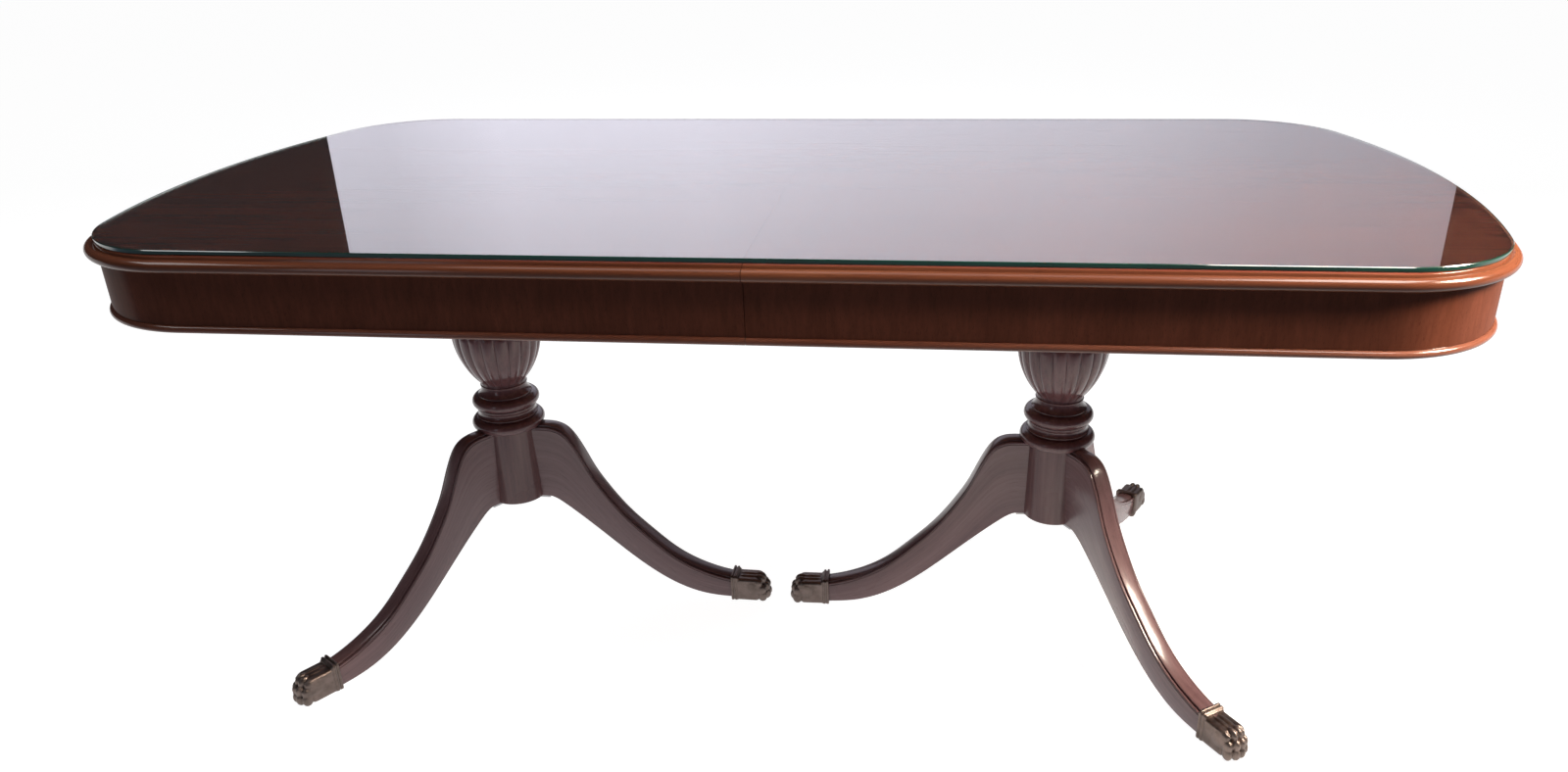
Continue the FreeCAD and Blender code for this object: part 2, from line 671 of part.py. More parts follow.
def lock_lever(y):
    """Crescent lever: boss on the pivot, arm beside the keeper's post, hook behind it, handle."""
    top = panel_bottom - LOCK_PLATE_THICKNESS - RUNNING_GAP
    bottom = top - LOCK_LEVER_THICKNESS
    boss = post(LOCK_PIVOT_X, y, bottom, LOCK_BOSS_RADIUS, LOCK_LEVER_THICKNESS)
    arm_side = KEEPER_POST_RADIUS + RUNNING_GAP
    hook_from = KEEPER_POST_X + KEEPER_POST_RADIUS + RUNNING_GAP
    hook_to = hook_from + LOCK_ARM_WIDTH
    arm = box((LOCK_PIVOT_X, y + arm_side, bottom), (hook_to, y + arm_side + LOCK_ARM_WIDTH, top))
    hook = box((hook_from, y - KEEPER_POST_RADIUS, bottom), (hook_to, y + arm_side, top))
    handle = box((LOCK_PIVOT_X - LOCK_HANDLE_LENGTH, y - LOCK_ARM_WIDTH / 2, bottom),
                 (LOCK_PIVOT_X, y + LOCK_ARM_WIDTH / 2, top))
    knob = post(LOCK_PIVOT_X - LOCK_HANDLE_LENGTH, y, bottom, LOCK_ARM_WIDTH, LOCK_LEVER_THICKNESS)
    lever = boss.fuse([arm, hook, handle, knob]).removeSplitter()
    return lever.cut(post(LOCK_PIVOT_X, y, bottom, LOCK_PIN_RADIUS + LOCK_PIN_GAP, LOCK_LEVER_THICKNESS))


def lock_keeper(y):
    """Plate under the right panel with the post that the hook pulls on."""
    bottom = panel_bottom - LOCK_PLATE_THICKNESS
    plate = box((KEEPER_POST_X - LOCK_PLATE_WIDTH / 2, y - LOCK_PLATE_WIDTH / 2, bottom),
                (KEEPER_POST_X + LOCK_PLATE_WIDTH / 2, y + LOCK_PLATE_WIDTH / 2, panel_bottom))
    drop = LOCK_LEVER_THICKNESS + RUNNING_GAP
    return plate.fuse(post(KEEPER_POST_X, y, bottom - drop, KEEPER_POST_RADIUS, drop))


def dowel(y, clearance):
    """Seam dowel, or the hole for it when given a clearance."""
    height = TOP_HEIGHT - PANEL_THICKNESS / 2
    start = V(DOWEL_PROJECTION - DOWEL_LENGTH - clearance, y, height)
    return Part.makeCylinder(DOWEL_RADIUS + clearance, DOWEL_LENGTH + 2 * clearance, start, V(1, 0, 0))


# ---------------------------------------------------------------- build and save

def save_top(side_name, place):
    """The panel, rim and rail screws of one half; place mirrors a left-hand piece where it must."""
    is_left = side_name == "left"
    rail_places = rail_screw_places(0 if is_left else 2)
    bearer_places = [spot for spot in pedestal_screw_places() if spot[3] > panel_bottom]
    panel = drilled(top_panel(), moved_by(bearer_places, -PEDESTAL_PLACES[side_name]))
    panel = drilled(place(panel), rail_places)
    panel = panel.cut([dowel(y, FIT_GAP if is_left else RUNNING_GAP) for y in DOWEL_SIDES])
    save(side_name + "_top_panel", panel)
    for kind, steps in (("edge_moulding", edge_steps), ("apron", apron_steps), ("bead", bead_steps)):
        save(side_name + "_front_" + kind, place(side_run(steps, -1)))
        save(side_name + "_back_" + kind, place(side_run(steps, 1)))
        save(side_name + "_end_" + kind, place(left_of(right_end_run(steps))))
    save(side_name + "_apron_blocks", place(apron_blocks()))
    save(side_name + "_rail_screws", screws(rail_places))


def save_pedestal(side_name, place):
    """Everything of one pedestal, moved from the column's axis to its place under the half top."""
    def stand(solid):
        solid = solid.copy()
        solid.translate(V(-PEDESTAL_PLACES[side_name], 0, 0))
        return place(solid)

    save(side_name + "_bearers", stand(bearers()))
    save(side_name + "_pedestal_head", stand(pedestal_head()))
    save(side_name + "_column", stand(column()))
    save(side_name + "_spider_plate", stand(spider_plate()))
    for name, angle in LEG_ANGLES.items():
        whole = leg(angle)
        save(side_name + "_" + name + "_sabot", stand(sabot(angle, whole)))
        save(side_name + "_" + name + "_leg", stand(drilled(whole, [sabot_screw_place(angle)])))
    places = pedestal_screw_places() + spider_screw_places()
    places += [sabot_screw_place(angle) for angle in LEG_ANGLES.values()]
    save(side_name + "_pedestal_screws", stand(screws(places)))


os.makedirs("parts", exist_ok=True)
glass_bottom = TOP_HEIGHT + GLASS_REST_GAP
save("glass_top", plan(GLASS_INSET, glass_bottom, glass_bottom + GLASS_THICKNESS, GLASS_END_REACH))
for side_name, place in (("left", lambda solid: solid), ("right", left_of)):
    save_top(side_name, place)
    save_pedestal(side_name, place)
for side_name, side in (("front", -1), ("back", 1)):
    for index, rail_name in enumerate(("left", "middle", "right")):
        save(side_name + "_" + rail_name + "_rail", rail(index, side))
    save(side_name + "_lock_lever", lock_lever(side * LOCK_SIDE))
save("lock_plates", Part.makeCompound([lock_plate(side * LOCK_SIDE) for side in (-1, 1)]))
save("lock_keepers", Part.makeCompound([lock_keeper(side * LOCK_SIDE) for side in (-1, 1)]))
save("seam_dowels", Part.makeCompound([dowel(y, 0) for y in DOWEL_SIDES]))
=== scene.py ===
# %% [markdown]
# # A double pedestal dining table in polished mahogany
#
# This file gives the table its looks. Mouldings, turned columns, sabre legs and cast feet are drawn
# again here as fine meshes, and each stands for the plain CAD piece it covers.

# %% Load the frame
import bpy
import math
import numpy as np
from mathutils import Matrix, Vector


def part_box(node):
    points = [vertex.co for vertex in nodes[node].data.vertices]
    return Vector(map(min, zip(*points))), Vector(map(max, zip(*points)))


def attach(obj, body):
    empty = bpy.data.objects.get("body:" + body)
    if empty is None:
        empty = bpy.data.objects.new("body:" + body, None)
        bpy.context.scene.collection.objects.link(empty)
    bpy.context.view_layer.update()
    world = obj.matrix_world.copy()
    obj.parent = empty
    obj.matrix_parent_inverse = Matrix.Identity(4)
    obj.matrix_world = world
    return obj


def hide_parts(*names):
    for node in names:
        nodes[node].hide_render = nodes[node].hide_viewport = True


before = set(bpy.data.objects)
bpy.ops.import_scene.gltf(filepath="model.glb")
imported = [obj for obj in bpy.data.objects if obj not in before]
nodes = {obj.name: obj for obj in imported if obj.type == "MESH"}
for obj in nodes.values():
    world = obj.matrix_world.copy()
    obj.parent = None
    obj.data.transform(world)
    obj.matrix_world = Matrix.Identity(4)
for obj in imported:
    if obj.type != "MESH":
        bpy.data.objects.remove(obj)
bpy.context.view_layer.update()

# %% [markdown]
# ## Sizes
#
# The table's lengths are written in millimetres, as on a maker's drawing, and `MM` turns them into
# Blender's metres at the last moment; only the studio is set out in metres.  The sizes that the
# frame can tell are read from it.

# %% Driving sizes
MM = 0.001
# the two halves, and the sign of X on each one's side of the seam
SIDES = (("left", -1), ("right", 1))
TOP_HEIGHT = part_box("left_top_panel")[1].z / MM
PANEL_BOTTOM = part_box("left_top_panel")[0].z / MM
HALF_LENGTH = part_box("right_end_edge_moulding")[1].x / MM
HALF_WIDTH = 478.0
END_BOW_RADIUS = 1320.0
CORNER_RADIUS = 190.0
# half the gap at the seam
SEAM = 0.4
# centres of the end's bow and of the rounded corner, and the angle at which the two arcs meet
BOW_X = HALF_LENGTH - END_BOW_RADIUS
CORNER_Y = HALF_WIDTH - CORNER_RADIUS
CORNER_X = BOW_X + math.sqrt((END_BOW_RADIUS - CORNER_RADIUS) ** 2 - CORNER_Y ** 2)
BOW_ANGLE = math.atan2(CORNER_Y, CORNER_X - BOW_X)
# where each half's pedestal stands along X
PEDESTAL_PLACES = {-1: -512.0, 1: 422.0}
print("top height", round(TOP_HEIGHT, 1), "corner centre", round(CORNER_X, 1), CORNER_Y)

# %% [markdown]
# ## A helper for meshes
#
# Most pieces here are worked out as rings of points, one after another, like the ribs of a boat.  One
# function lays faces between the rings, and one turns points and faces into an object.  It can also
# store a `grain` attribute on the points: where in its plank each point lies, along the timber and
# across it.  The wood materials read it, so the grain follows a bent moulding or a sabre leg.

# %% Mesh helper
def new_object(name, data):
    """An object in the scene for a mesh, a light or a camera."""
    made = bpy.data.objects.new(name, data)
    bpy.context.scene.collection.objects.link(made)
    return made


def make_piece(name, points, faces, grain=None, crease=38.0):
    """A smooth mesh object from points in millimetres; edges sharper than crease stay crisp."""
    mesh = bpy.data.meshes.new(name)
    mesh.from_pydata([tuple(c * MM for c in p) for p in points], [], faces)
    mesh.update()
    if grain is not None:
        layer = mesh.attributes.new("grain", "FLOAT_VECTOR", "POINT")
        layer.data.foreach_set("vector", (np.array(grain, float) * MM).ravel())
    mesh.shade_smooth()
    mesh.set_sharp_from_angle(angle=math.radians(crease))
    return new_object(name, mesh)


def ring_skin(rings, count, flip=False):
    """Quads between rings of count points, and a cap at each end; flip turns every face over."""
    faces = []
    for ring in range(rings - 1):
        for i in range(count):
            a = ring * count + i
            b = ring * count + (i + 1) % count
            faces.append((a, b, b + count, a + count))
    faces += [tuple(reversed(range(count))), tuple(range((rings - 1) * count, rings * count))]
    if flip:
        faces = turned_over(faces)
    return faces


def turned_over(faces):
    """The same faces seen from the other side, for a piece that is a mirror image."""
    return [face[::-1] for face in faces]


def arc_points(start, via, end, count):
    """Points of the arc from start through via to end, in the plane of the profile."""
    (ax, ay), (bx, by), (cx, cy) = start, via, end
    d = 2 * (ax * (by - cy) + bx * (cy - ay) + cx * (ay - by))
    ux = ((ax**2 + ay**2) * (by - cy) + (bx**2 + by**2) * (cy - ay) + (cx**2 + cy**2) * (ay - by)) / d
    uy = ((ax**2 + ay**2) * (cx - bx) + (bx**2 + by**2) * (ax - cx) + (cx**2 + cy**2) * (bx - ax)) / d
    radius = math.hypot(ax - ux, ay - uy)
    first = math.atan2(ay - uy, ax - ux)
    middle = (math.atan2(by - uy, bx - ux) - first) % math.tau
    last = (math.atan2(cy - uy, cx - ux) - first) % math.tau
    if middle > last:
        last -= math.tau
    points = []
    for i in range(1, count + 1):
        turn = first + last * i / count
        points.append((ux + radius * math.cos(turn), uy + radius * math.sin(turn)))
    return points


# %% [markdown]
# ## Materials: how colours and nodes are written
#
# Colours are sRGB hex values, as a paint chart gives them, and `linear` turns them into the linear
# values that Blender's shaders use.  `add` makes one node, sets its inputs and joins its links, and
# `join` does the last two for a node that is there already.  An input is named in words, or by its
# number where a node has several of one name (`i6` is the seventh).  A pattern's scale is worked out
# from its real size: `cells` turns millimetres into the number of pattern cells per metre.

# %% Material helpers
def linear(code):
    """sRGB hex to linear RGBA."""
    parts = [int(code[i:i + 2], 16) / 255 for i in (0, 2, 4)]
    return tuple(p / 12.92 if p <= 0.04045 else ((p + 0.055) / 1.055) ** 2.4 for p in parts) + (1.0,)


def cells(*sizes):
    """Pattern cells per metre for sizes in millimetres."""
    return tuple(1 / (size * MM) for size in sizes)


def join(tree, node, **inputs):
    """Set a node's inputs; each may be a value or another node's output socket."""
    for key, value in inputs.items():
        index = int(key[1:]) if key[0] == "i" and key[1:].isdigit() else key.replace("_", " ")
        if isinstance(value, bpy.types.NodeSocket):
            tree.links.new(value, node.inputs[index])
        else:
            node.inputs[index].default_value = value


def add(tree, kind, settings=None, **inputs):
    """One node with its settings and inputs; the setting stops fills a colour ramp."""
    node = tree.nodes.new(kind)
    for key, value in (settings or {}).items():
        if key != "stops":
            setattr(node, key, value)
            continue
        elements = node.color_ramp.elements
        while len(elements) < len(value):
            elements.new(0.5)
        for element, (position, colour) in zip(elements, value):
            element.position = position
            element.color = colour
    join(tree, node, **inputs)
    return node


def new_material(name):
    """An empty node material with its Principled shader."""
    material = bpy.data.materials.new(name)
    material.use_nodes = True
    tree = material.node_tree
    tree.nodes.clear()
    shader = add(tree, "ShaderNodeBsdfPrincipled")
    add(tree, "ShaderNodeOutputMaterial", Surface=shader.outputs[0])
    return material, tree, shader


print("colour test", [round(v, 3) for v in linear("7C4229")])

# %% [markdown]
# ## Polished mahogany
#
# Mahogany under French polish: a red-brown timber with fine open pores drawn out along the grain,
# broad darker and lighter bands, and a thin clear lacquer over the softer sheen of the wood.  The
# lacquer is the shader's coat (IOR 1.5): sharpest on flat veneer, and hazier on what was moulded,
# turned or carved, where the polisher's pad doesn't reach as well.  Wood that sticks out is drawn
# lighter, which Blender's pointiness finds: partly rubbed wear, partly a painted highlight along the
# edges.  Pores are about 0.2 mm wide on the real wood, too fine to show from here, so they are drawn
# about half a millimetre wide.

# %% The mahogany recipe
# each layer of the figure: length and width of its cells in millimetres, and its detail
GRAIN_LAYERS = (("bands", 769.2, 62.5, 4.0), ("streaks", 333.3, 6.667, 6.0),
                ("pores", 22.22, 1.111, 2.0), ("cloud", 166.7, 111.1, 3.0))
# the axes along the grain, and those across it
ALONG_X = ((1, 0, 0), (0, 1, 1))
ALONG_Z = ((0, 0, 1), (1, 1, 0))
CROSS_BANDED = ((0, 1, 0), (1, 0, 1))
LACQUER_IOR = 1.5
# depth of a pore where relief is 1, in metres
PORE_DEPTH = 0.4 * MM


def mahogany(name, dark, middle, light, relief, axes=ALONG_X, stored=True, coat=0.5, haze=0.07,
             shine=0.0, pointed=0.35):
    """Polished wood whose grain follows the stored grain or, where stored is False, the object's axes.

    haze is the lacquer's roughness, shine the bare wood's gloss, pointed how much edges are drawn
    lighter (partly rubbed wear, partly a painted edge highlight), and relief how far the pores show.
    """
    material, tree, shader = new_material(name)
    if stored:
        source = add(tree, "ShaderNodeAttribute", {"attribute_name": "grain"}).outputs["Vector"]
    else:
        source = add(tree, "ShaderNodeTexCoord").outputs["Object"]
    along, across = axes
    noise = {}
    for layer, length, width, detail in GRAIN_LAYERS:
        lengthwise, crosswise = cells(length, width)
        scale = [lengthwise * a + crosswise * c for a, c in zip(along, across)]
        place = add(tree, "ShaderNodeMapping", Vector=source, Scale=scale).outputs[0]
        speckle = add(tree, "ShaderNodeTexNoise", Vector=place, Scale=1.0, Detail=detail, Roughness=0.6)
        noise[layer] = speckle.outputs["Fac"]
    figure = add(tree, "ShaderNodeMix", Factor=0.5, i2=noise["bands"], i3=noise["streaks"]).outputs[0]
    stops = ((0.36, linear(dark)), (0.5, linear(middle)), (0.64, linear(light)))
    body = add(tree, "ShaderNodeValToRGB", {"stops": stops}, Fac=figure).outputs[0]
    stops = ((0.3, linear("CBCBCB")), (0.42, linear("FFFFFF")))
    open_pores = add(tree, "ShaderNodeValToRGB", {"stops": stops}, Fac=noise["pores"]).outputs[0]
    body = add(tree, "ShaderNodeMix", {"data_type": "RGBA", "blend_type": "MULTIPLY"}, Factor=0.8,
               i6=body, i7=open_pores).outputs[2]
    # edges that stick out are mixed towards the light colour: partly rubbed wear, partly a painted
    # highlight along the edges
    edge = add(tree, "ShaderNodeNewGeometry").outputs["Pointiness"]
    wear_and_edge_highlight = add(tree, "ShaderNodeMapRange", Value=edge, i1=0.52, i2=0.6, i4=pointed).outputs[0]
    body = add(tree, "ShaderNodeMix", {"data_type": "RGBA"}, Factor=wear_and_edge_highlight,
               i6=body, i7=linear(light)).outputs[2]
    rough = add(tree, "ShaderNodeMapRange", Value=noise["cloud"], i1=0.3, i2=0.7,
                i3=0.25, i4=0.37).outputs[0]
    bump = add(tree, "ShaderNodeBump", Strength=relief, Distance=PORE_DEPTH, Height=noise["pores"])
    join(tree, shader, Base_Color=body, Roughness=rough, Normal=bump.outputs[0], IOR=LACQUER_IOR,
         Specular_IOR_Level=shine, Coat_Weight=coat, Coat_Roughness=haze, Coat_IOR=LACQUER_IOR)
    return material


top_veneer = mahogany("mahogany_veneer_french_polished_top", "4C241C", "622E24", "733F30",
                      stored=False, relief=0.02)
moulded_wood = mahogany("mahogany_moulded_french_polished", "502C1D", "5E3423", "6F412C",
                        coat=0.65, haze=0.16, pointed=0.3, relief=0.04)
apron_veneer = mahogany("mahogany_veneer_french_polished_apron", "4A271B", "532D20", "5D3325",
                        axes=CROSS_BANDED, coat=0.14, pointed=0.2, relief=0.04)
bead_wood = mahogany("mahogany_bead_french_polished", "583226", "663C2E", "774D3E",
                     coat=0.7, haze=0.15, pointed=0.4, relief=0.05)
# The shaped legs and the turned columns get a greyer, mauve base than the top: partly the wood's own tone,
# partly a painted sheen standing in for light from the pale floor.
leg_wood = mahogany("mahogany_shaped_french_polished", "563F41", "61484A", "6C5354",
                    coat=0.6, haze=0.18, shine=0.08, pointed=0.3, relief=0.12)
turned_wood = mahogany("mahogany_turned_french_polished", "4C3032", "573839", "644445", axes=ALONG_Z,
                       stored=False, coat=0.65, haze=0.11, shine=0.1, pointed=0.4, relief=0.12)
print("six mahogany finishes")

# %% [markdown]
# ## Carcass wood, metals and glass
#
# Inside the top a maker uses plain planed beech: pale, matt, with long grain and short dark flecks,
# about 1.6 mm wide here and finer in the timber.  The locks are stamped brass, the screws and the
# spider plates under the drums plain steel, and the feet cast brass gone brown with age.  A metal
# keeps Blender's default IOR.  Its darker colour is the tarnish, which lies in soft clouds, and grit
# breaks up its gloss: drawn 1 to 2 mm wide, coarser than it is, so that it shows.

# %% Carcass wood, brass, steel
def planed_beech():
    """Pale timber with flecks, no lacquer."""
    material, tree, shader = new_material("beech_planed_unfinished")
    source = add(tree, "ShaderNodeTexCoord").outputs["Object"]
    long_grain = add(tree, "ShaderNodeMapping", Vector=source, Scale=cells(250.0, 7.692, 7.692))
    grain = add(tree, "ShaderNodeTexNoise", Vector=long_grain.outputs[0], Scale=1.0, Detail=4.0)
    short_flecks = add(tree, "ShaderNodeMapping", Vector=source, Scale=cells(9.091, 1.613, 1.613))
    fleck = add(tree, "ShaderNodeTexNoise", Vector=short_flecks.outputs[0], Scale=1.0, Detail=1.0)
    stops = ((0.3, linear("7D5A38")), (0.55, linear("9A7449")), (0.75, linear("B08A5C")))
    body = add(tree, "ShaderNodeValToRGB", {"stops": stops}, Fac=grain.outputs["Fac"]).outputs[0]
    stops = ((0.36, linear("CBC4BC")), (0.44, linear("FFFFFF")))
    flecks = add(tree, "ShaderNodeValToRGB", {"stops": stops}, Fac=fleck.outputs["Fac"]).outputs[0]
    body = add(tree, "ShaderNodeMix", {"data_type": "RGBA", "blend_type": "MULTIPLY"}, Factor=0.7,
               i6=body, i7=flecks).outputs[2]
    bump = add(tree, "ShaderNodeBump", Strength=0.2, Distance=PORE_DEPTH, Height=grain.outputs["Fac"])
    join(tree, shader, Base_Color=body, Normal=bump.outputs[0], Roughness=0.65)
    return material


# a metal's grit is this much finer than its clouds, and this deep in metres
GRIT_SHARE = 1 / 9
GRIT_DEPTH = 0.4 * MM


def aged_metal(name, low, high, bright, roughness, cloud_size, pointed=0.5):
    """A metal with tarnish clouds of a size in millimetres, rubbed bright on what stands out."""
    material, tree, shader = new_material(name)
    source = add(tree, "ShaderNodeTexCoord").outputs["Object"]
    cloud_scale, grit_scale = cells(cloud_size, cloud_size * GRIT_SHARE)
    cloud = add(tree, "ShaderNodeTexNoise", Vector=source, Scale=cloud_scale, Detail=5.0, Roughness=0.6)
    grit = add(tree, "ShaderNodeTexNoise", Vector=source, Scale=grit_scale, Detail=3.0)
    stops = ((0.35, linear(low)), (0.65, linear(high)))
    body = add(tree, "ShaderNodeValToRGB", {"stops": stops}, Fac=cloud.outputs["Fac"]).outputs[0]
    edge = add(tree, "ShaderNodeNewGeometry").outputs["Pointiness"]
    rubbed = add(tree, "ShaderNodeMapRange", Value=edge, i1=0.5, i2=0.58, i4=pointed).outputs[0]
    body = add(tree, "ShaderNodeMix", {"data_type": "RGBA"}, Factor=rubbed,
               i6=body, i7=linear(bright)).outputs[2]
    rough = add(tree, "ShaderNodeMapRange", Value=cloud.outputs["Fac"], i1=0.3, i2=0.7,
                i3=roughness - 0.08, i4=roughness + 0.1).outputs[0]
    bump = add(tree, "ShaderNodeBump", Strength=0.3, Distance=GRIT_DEPTH, Height=grit.outputs["Fac"])
    join(tree, shader, Base_Color=body, Roughness=rough, Normal=bump.outputs[0], Metallic=1.0)
    return material


beech = planed_beech()
foot_brass = aged_metal("brass_cast_browned", "5A4F4A", "766863", "B0A6A0", 0.42, 16.667, pointed=0.35)
lock_brass = aged_metal("brass_stamped", "9A7B42", "B99552", "E3C684", 0.3, 11.111)
steel = aged_metal("steel_plain", "6B6B6D", "8C8C8E", "C8C8CA", 0.35, 8.3333)
print("one plain wood and three metals")

# %% [markdown]
# Clear float glass lets light through and bends it (IOR 1.52).  Its iron only shows at the edge,
# where the eye looks through a long way of it, so the polished edge gets a deep green of its own.

# %% Float glass
GLASS_IOR = 1.52


def float_glass():
    """The two faces of the pane."""
    material, tree, shader = new_material("glass_float_clear")
    join(tree, shader, Base_Color=linear("F2FAF7"), Roughness=0.0, IOR=GLASS_IOR,
         Transmission_Weight=1.0)
    return material


def glass_edge():
    """The ground and polished rim of the pane."""
    material, tree, shader = new_material("glass_float_edge_polished")
    source = add(tree, "ShaderNodeTexCoord").outputs["Object"]
    drift = add(tree, "ShaderNodeTexNoise", Vector=source, Scale=cells(200.0)[0], Detail=2.0)
    stops = ((0.35, linear("0A2D22")), (0.65, linear("164235")))
    body = add(tree, "ShaderNodeValToRGB", {"stops": stops}, Fac=drift.outputs["Fac"]).outputs[0]
    join(tree, shader, Base_Color=body, Roughness=0.12, IOR=GLASS_IOR, Coat_Weight=0.6,
         Coat_Roughness=0.03)
    return material


pane_glass = float_glass()
pane_edge = glass_edge()
print("two glass finishes")

# %% [markdown]
# ## The outline of the top
#
# Seen from above the top is straight along the front and back, has rounded corners and ends that
# bow gently outwards.  The path below walks round one half of it, from the seam at the front to the
# seam at the back, and notes the outward direction at each point.  Sweeping a profile along this
# path is how a moulding is run on a spindle moulder.

# %% Walk round half the top
STRAIGHT_STEPS, CORNER_STEPS, BOW_STEPS = 14, 30, 40
# the right half takes its grain from timber this much further on, so the halves aren't twins
NEXT_PLANK = 5000.0
# the figure changes a little with height, by this share of it
GRAIN_PER_HEIGHT = 0.2


def half_path(facing):
    """Points of the outline of one half: x, y, outward x, outward y, distance walked."""
    walk = []
    for i in range(STRAIGHT_STEPS + 1):
        walk.append((SEAM + (CORNER_X - SEAM) * i / STRAIGHT_STEPS, -HALF_WIDTH, 0.0, -1.0))
    arcs = ((CORNER_X, -CORNER_Y, CORNER_RADIUS, -math.pi / 2, -BOW_ANGLE, CORNER_STEPS),
            (BOW_X, 0.0, END_BOW_RADIUS, -BOW_ANGLE, BOW_ANGLE, BOW_STEPS),
            (CORNER_X, CORNER_Y, CORNER_RADIUS, BOW_ANGLE, math.pi / 2, CORNER_STEPS))
    for x, y, radius, start, end, steps in arcs:
        for i in range(1, steps + 1):
            turn = start + (end - start) * i / steps
            out = math.cos(turn), math.sin(turn)
            walk.append((x + radius * out[0], y + radius * out[1]) + out)
    for i in range(1, STRAIGHT_STEPS + 1):
        walk.append((CORNER_X + (SEAM - CORNER_X) * i / STRAIGHT_STEPS, HALF_WIDTH, 0.0, 1.0))
    path, gone = [], 0.0
    for i, (x, y, nx, ny) in enumerate(walk):
        if i:
            gone += math.dist((x, y), walk[i - 1][:2])
        path.append((facing * x, y, facing * nx, ny, gone))
    return path


def rim_piece(name, facing, profile, material, strip=None, strip_material=None):
    """A closed profile of (outward, height) points swept round one half; one strip may differ."""
    path = half_path(facing)
    count = len(profile)
    plank = NEXT_PLANK if facing > 0 else 0.0
    lengths = [0.0]
    for a, b in zip(profile, profile[1:]):
        lengths.append(lengths[-1] + math.dist(a, b))
    points, grain = [], []
    for x, y, nx, ny, gone in path:
        for (out, height), across in zip(profile, lengths):
            points.append((x + nx * out, y + ny * out, height))
            grain.append((gone + plank, across, height * GRAIN_PER_HEIGHT))
    piece = make_piece(name, points, ring_skin(len(path), count, flip=facing > 0), grain)
    piece.data.materials.append(material)
    if strip is not None:
        piece.data.materials.append(strip_material)
        for i in range(strip, (len(path) - 1) * count, count):
            piece.data.polygons[i].material_index = 1
    return piece


print("outline points per half", len(half_path(1)))

# %% [markdown]
# ## Moulded edge, apron and bead
#
# Three profiles run round each half: the moulded edge glued to the top (a flat ledge, a small quirk
# and a full round), the veneered apron set back under it, and a half-round bead below.

# %% Profiles
EDGE_DEPTH = 40.0
APRON_INSET, APRON_THICKNESS = 14.0, 20.0
APRON_FRONT, APRON_REAR = -APRON_INSET, -APRON_INSET - APRON_THICKNESS
APRON_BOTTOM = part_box("left_front_apron")[0].z / MM
BEAD_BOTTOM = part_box("left_front_bead")[0].z / MM
BEAD_PROJECTION = 4.5
# the full round: its middle (outward, above the panel's underside) and its half width and height
ROUND_MIDDLE = (-8.5, 8.1)
ROUND_REACH = (8.45, 7.9)
ROUND_FOOT = -10.5
# the quirk behind it, up to the ledge: outward, and depth below the top
QUIRK = ((-12.6, 3.7), (-13.2, 3.9), (-13.5, 3.2), (-13.7, 0.8), (-14.3, 0.1), (-15.2, 0.0))


def edge_profile():
    """Moulded edge, from the inner bottom corner round the outside to the inner top corner."""
    outline = [(-EDGE_DEPTH, PANEL_BOTTOM), (ROUND_FOOT, PANEL_BOTTOM)]
    for degrees in range(-84, 97, 6):
        turn = math.radians(degrees)
        outline.append((ROUND_MIDDLE[0] + ROUND_REACH[0] * math.cos(turn),
                        PANEL_BOTTOM + ROUND_MIDDLE[1] + ROUND_REACH[1] * math.sin(turn)))
    outline += [(out, TOP_HEIGHT - depth) for out, depth in QUIRK]
    outline.append((-EDGE_DEPTH, TOP_HEIGHT))
    return outline


def bead_profile():
    """Half-round bead under the apron with a small quirk above it."""
    middle = (BEAD_BOTTOM + APRON_BOTTOM) / 2
    start = (APRON_FRONT - 0.5, BEAD_BOTTOM)
    end = (APRON_FRONT - 0.3, APRON_BOTTOM - 0.4)
    outline = [(APRON_REAR, BEAD_BOTTOM), start]
    outline += arc_points(start, (APRON_FRONT + BEAD_PROJECTION, middle), end, 12)
    outline += [(APRON_FRONT - 0.6, APRON_BOTTOM), (APRON_REAR, APRON_BOTTOM)]
    return outline


apron_profile = [(APRON_REAR, APRON_BOTTOM), (APRON_FRONT - 0.3, APRON_BOTTOM),
                 (APRON_FRONT, APRON_BOTTOM + 0.3), (APRON_FRONT, PANEL_BOTTOM),
                 (APRON_REAR, PANEL_BOTTOM)]
# strips of the profiles with a finish of their own: the flat ledge is veneered with the top, and the
# apron's inside stays unpolished
LEDGE = len(edge_profile()) - 2
APRON_INSIDE = len(apron_profile) - 1
print("profiles with", len(edge_profile()), len(apron_profile), len(bead_profile()), "points")

# %% Run the three profiles round both halves
for side, facing in SIDES:
    runs = (("edge_moulding", edge_profile(), moulded_wood, "mahogany_moulding", LEDGE, top_veneer),
            ("apron", apron_profile, apron_veneer, "mahogany_apron", APRON_INSIDE, beech),
            ("bead", bead_profile(), bead_wood, "mahogany_bead", None, None))
    for kind, profile, material, slot, strip, strip_material in runs:
        piece = rim_piece(f"{side}_{kind}_run", facing, profile, material, strip, strip_material)
        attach(piece, f"{side}_half")
        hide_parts(*[f"{side}_{part}_{kind}" for part in ("front", "back", "end")])
        print(piece.name, len(piece.data.polygons), "faces")

# %% [markdown]
# ## The glass pane
#
# One loose pane of 6 mm float glass, cut 20 mm inside the moulded edge and 11 mm inside it at the
# ends.  Its outline is the same path drawn in, closed over both halves; a small chamfer above and
# below eases the sharp arris of the cut, as a glazier grinds it.

# %% Glass pane
GLASS_INSET = 20.0
GLASS_END_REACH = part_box("glass_top")[1].x / MM - HALF_LENGTH + GLASS_INSET
GLASS_LOW, GLASS_HIGH = (corner.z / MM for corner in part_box("glass_top"))
ARRIS = 0.9


